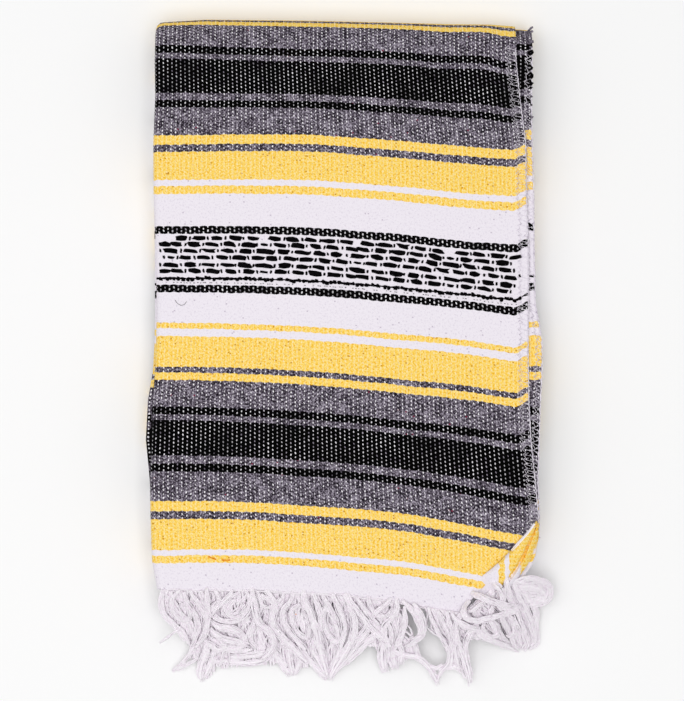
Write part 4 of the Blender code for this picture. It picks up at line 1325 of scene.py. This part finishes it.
# Stray fibres that cling to the cloth and the fringe: radius in millimetres, then pixels on the way
darkStrays = (
    (0.16, (175, 300), (177.5, 303.5), (181, 305.5), (184.5, 304.5), (186.5, 301.5)),
    (0.30, (494.6, 608.4), (496.5, 610.6), (498.9, 612.4)),
    (0.20, (495.5, 590.5), (499.5, 589.6), (503, 587), (505, 584)),
    (0.16, (495, 598), (496.5, 598.6)),
    (0.24, (500, 623), (502, 628.5), (504, 633.5), (506.5, 637.5), (509.5, 639)),
    (0.18, (514.5, 614), (516, 616.5), (517, 620)),
    (0.30, (287.0, 667), (288.2, 667.3)),
)
orangeStrays = (
    (0.55, (208, 556.5), (212, 558), (216, 559.5)),
    (0.60, (222, 560), (226, 560.5), (230, 560)),
    (0.35, (295.2, 614), (296.4, 614.4)),
)


# Slack turns of the weft that stand out from the second ply's selvedge, given in the same way
blackTurns = (
    (1.05, (527.5, 53.5), (530, 51.6), (532.2, 50.6), (532.8, 52.4), (531.4, 54.0), (528.5, 54.6)),
    (0.95, (527.0, 65.6), (529.6, 65.4), (532.2, 67.6), (531.7, 68.8), (528.6, 69.8)),
    (0.95, (528.0, 75.4), (530.8, 72.6), (532.6, 74.8), (532.4, 77.0), (530.9, 78.4)),
    (0.80, (528.2, 79.2), (530.0, 76.6), (531.4, 75.0)),
    (1.15, (529.2, 83.4), (531.0, 82.4), (532.5, 83.2), (531.2, 84.6), (529.4, 84.2)),
    (0.90, (529.5, 88.4), (531.4, 87.4), (532.2, 88.2)),
    (0.60, (529.2, 99.8), (530.4, 101.4)),
    (0.70, (530.6, 104.6), (532.3, 105.3)),
)
greyTurns = (
    (0.95, (527.4, 32.2), (529.2, 30.0), (531.6, 27.6), (533.0, 27.1)),
    (1.00, (529.6, 32.6), (531.8, 31.4), (533.0, 31.3)),
    (1.00, (529.0, 43.6), (531.0, 42.0), (532.8, 40.9), (532.6, 42.6)),
    (0.80, (530.6, 47.2), (532.6, 47.0)),
    (0.70, (530.8, 95.6), (532.4, 97.2)),
    (0.80, (531.0, 116.2), (532.8, 116.8), (531.8, 118.0)),
)


def layStrays(name, strays, finish, depth=0.0, lift=0.45 * mm):
    curve = yarnCurve(name, thin=not depth)
    for radius, *points in strays:
        points = np.array(points, float)
        px, py = points[:, 0], points[:, 1]
        x, y = (px - picture["x"]) * picture["pixel"], (picture["y"] - py) * picture["pixel"]
        onCloth = plySurface(x, y, depth) + lift
        inFringe = fringeHeight(px, py) + 4.5 * fringe["layerLift"]
        height = np.where(fromEdge(px, py) * (py > 584) > 1 * mm, inFringe, onCloth)
        route = underPixel(px, py, height)
        addYarn(curve, route, [radius * mm] * len(route))
    yarnPiece(name, [curve], finish, "cloth")


layStrays("darkFibres", darkStrays, blackFinish)
layStrays("orangeFibres", orangeStrays, orangeFinish)
layStrays("blackTurns", blackTurns, blackFinish, secondDepth, 0.85 * mm)
layStrays("greyTurns", greyTurns, greyFinish, secondDepth, 0.85 * mm)
print("stray fibres laid")


# Studio: pale floor, soft light, the camera straight above
studio = {
    "floor": "#FBFBFB",
    "floorSize": 4.0,
    "ambient": 0.50,
    "lamps": (
        # place, width, power: a broad soft box overhead and a weaker one at the upper left
        ((0.0, -0.3, 3.0), 2.2, 45.0),
        ((-1.6, 0.3, 2.4), 1.4, 8.0),
    ),
}


def makeStudio():
    solid = bmesh.new()
    bmesh.ops.create_grid(solid, x_segments=2, y_segments=2, size=studio["floorSize"] / 2)
    bmesh.ops.translate(solid, verts=solid.verts, vec=(0, 0, -0.2 * mm))
    mesh = bpy.data.meshes.new("floor")
    solid.to_mesh(mesh)
    solid.free()
    floor = bpy.data.objects.new("floor", mesh)
    bpy.context.scene.collection.objects.link(floor)
    paper = bpy.data.materials.new("mattPaper")      # seamless paper, flat and without gloss
    paper.use_nodes = True
    shader = paper.node_tree.nodes["Principled BSDF"]
    shader.inputs["Base Color"].default_value = srgb(studio["floor"])
    shader.inputs["Roughness"].default_value = 1.0
    shader.inputs["Specular IOR Level"].default_value = 0.0
    mesh.materials.append(paper)
    world = bpy.data.worlds.new("softRoom")
    bpy.context.scene.world = world
    world.use_nodes = True
    sky = world.node_tree.nodes["Background"]
    sky.inputs["Color"].default_value = (1.0, 1.0, 1.0, 1.0)
    sky.inputs["Strength"].default_value = studio["ambient"]
    for index, (spot, width, power) in enumerate(studio["lamps"]):
        lamp = bpy.data.lights.new(f"softBox{index}", "AREA")
        lamp.shape = "SQUARE"
        lamp.size = width
        lamp.energy = power
        holder = bpy.data.objects.new(lamp.name, lamp)
        bpy.context.scene.collection.objects.link(holder)
        holder.location = spot
        holder.rotation_euler = (-Vector(spot)).to_track_quat("-Z", "Y").to_euler()


def makeCamera():
    lens = bpy.data.cameras.new("overhead")
    lens.sensor_fit = "HORIZONTAL"
    lens.sensor_width = 36.0
    lens.lens = 36.0 * camera["distance"] / camera["view"]
    lens.clip_start, lens.clip_end = 0.1, 20.0
    holder = bpy.data.objects.new("overhead", lens)
    bpy.context.scene.collection.objects.link(holder)
    holder.location = (camera["x"], camera["y"], camera["focus"] + camera["distance"])
    bpy.context.scene.camera = holder


makeStudio()
makeCamera()
bpy.context.scene.view_settings.view_transform = "Standard"
print("studio lit")

bpy.context.view_layer.update()
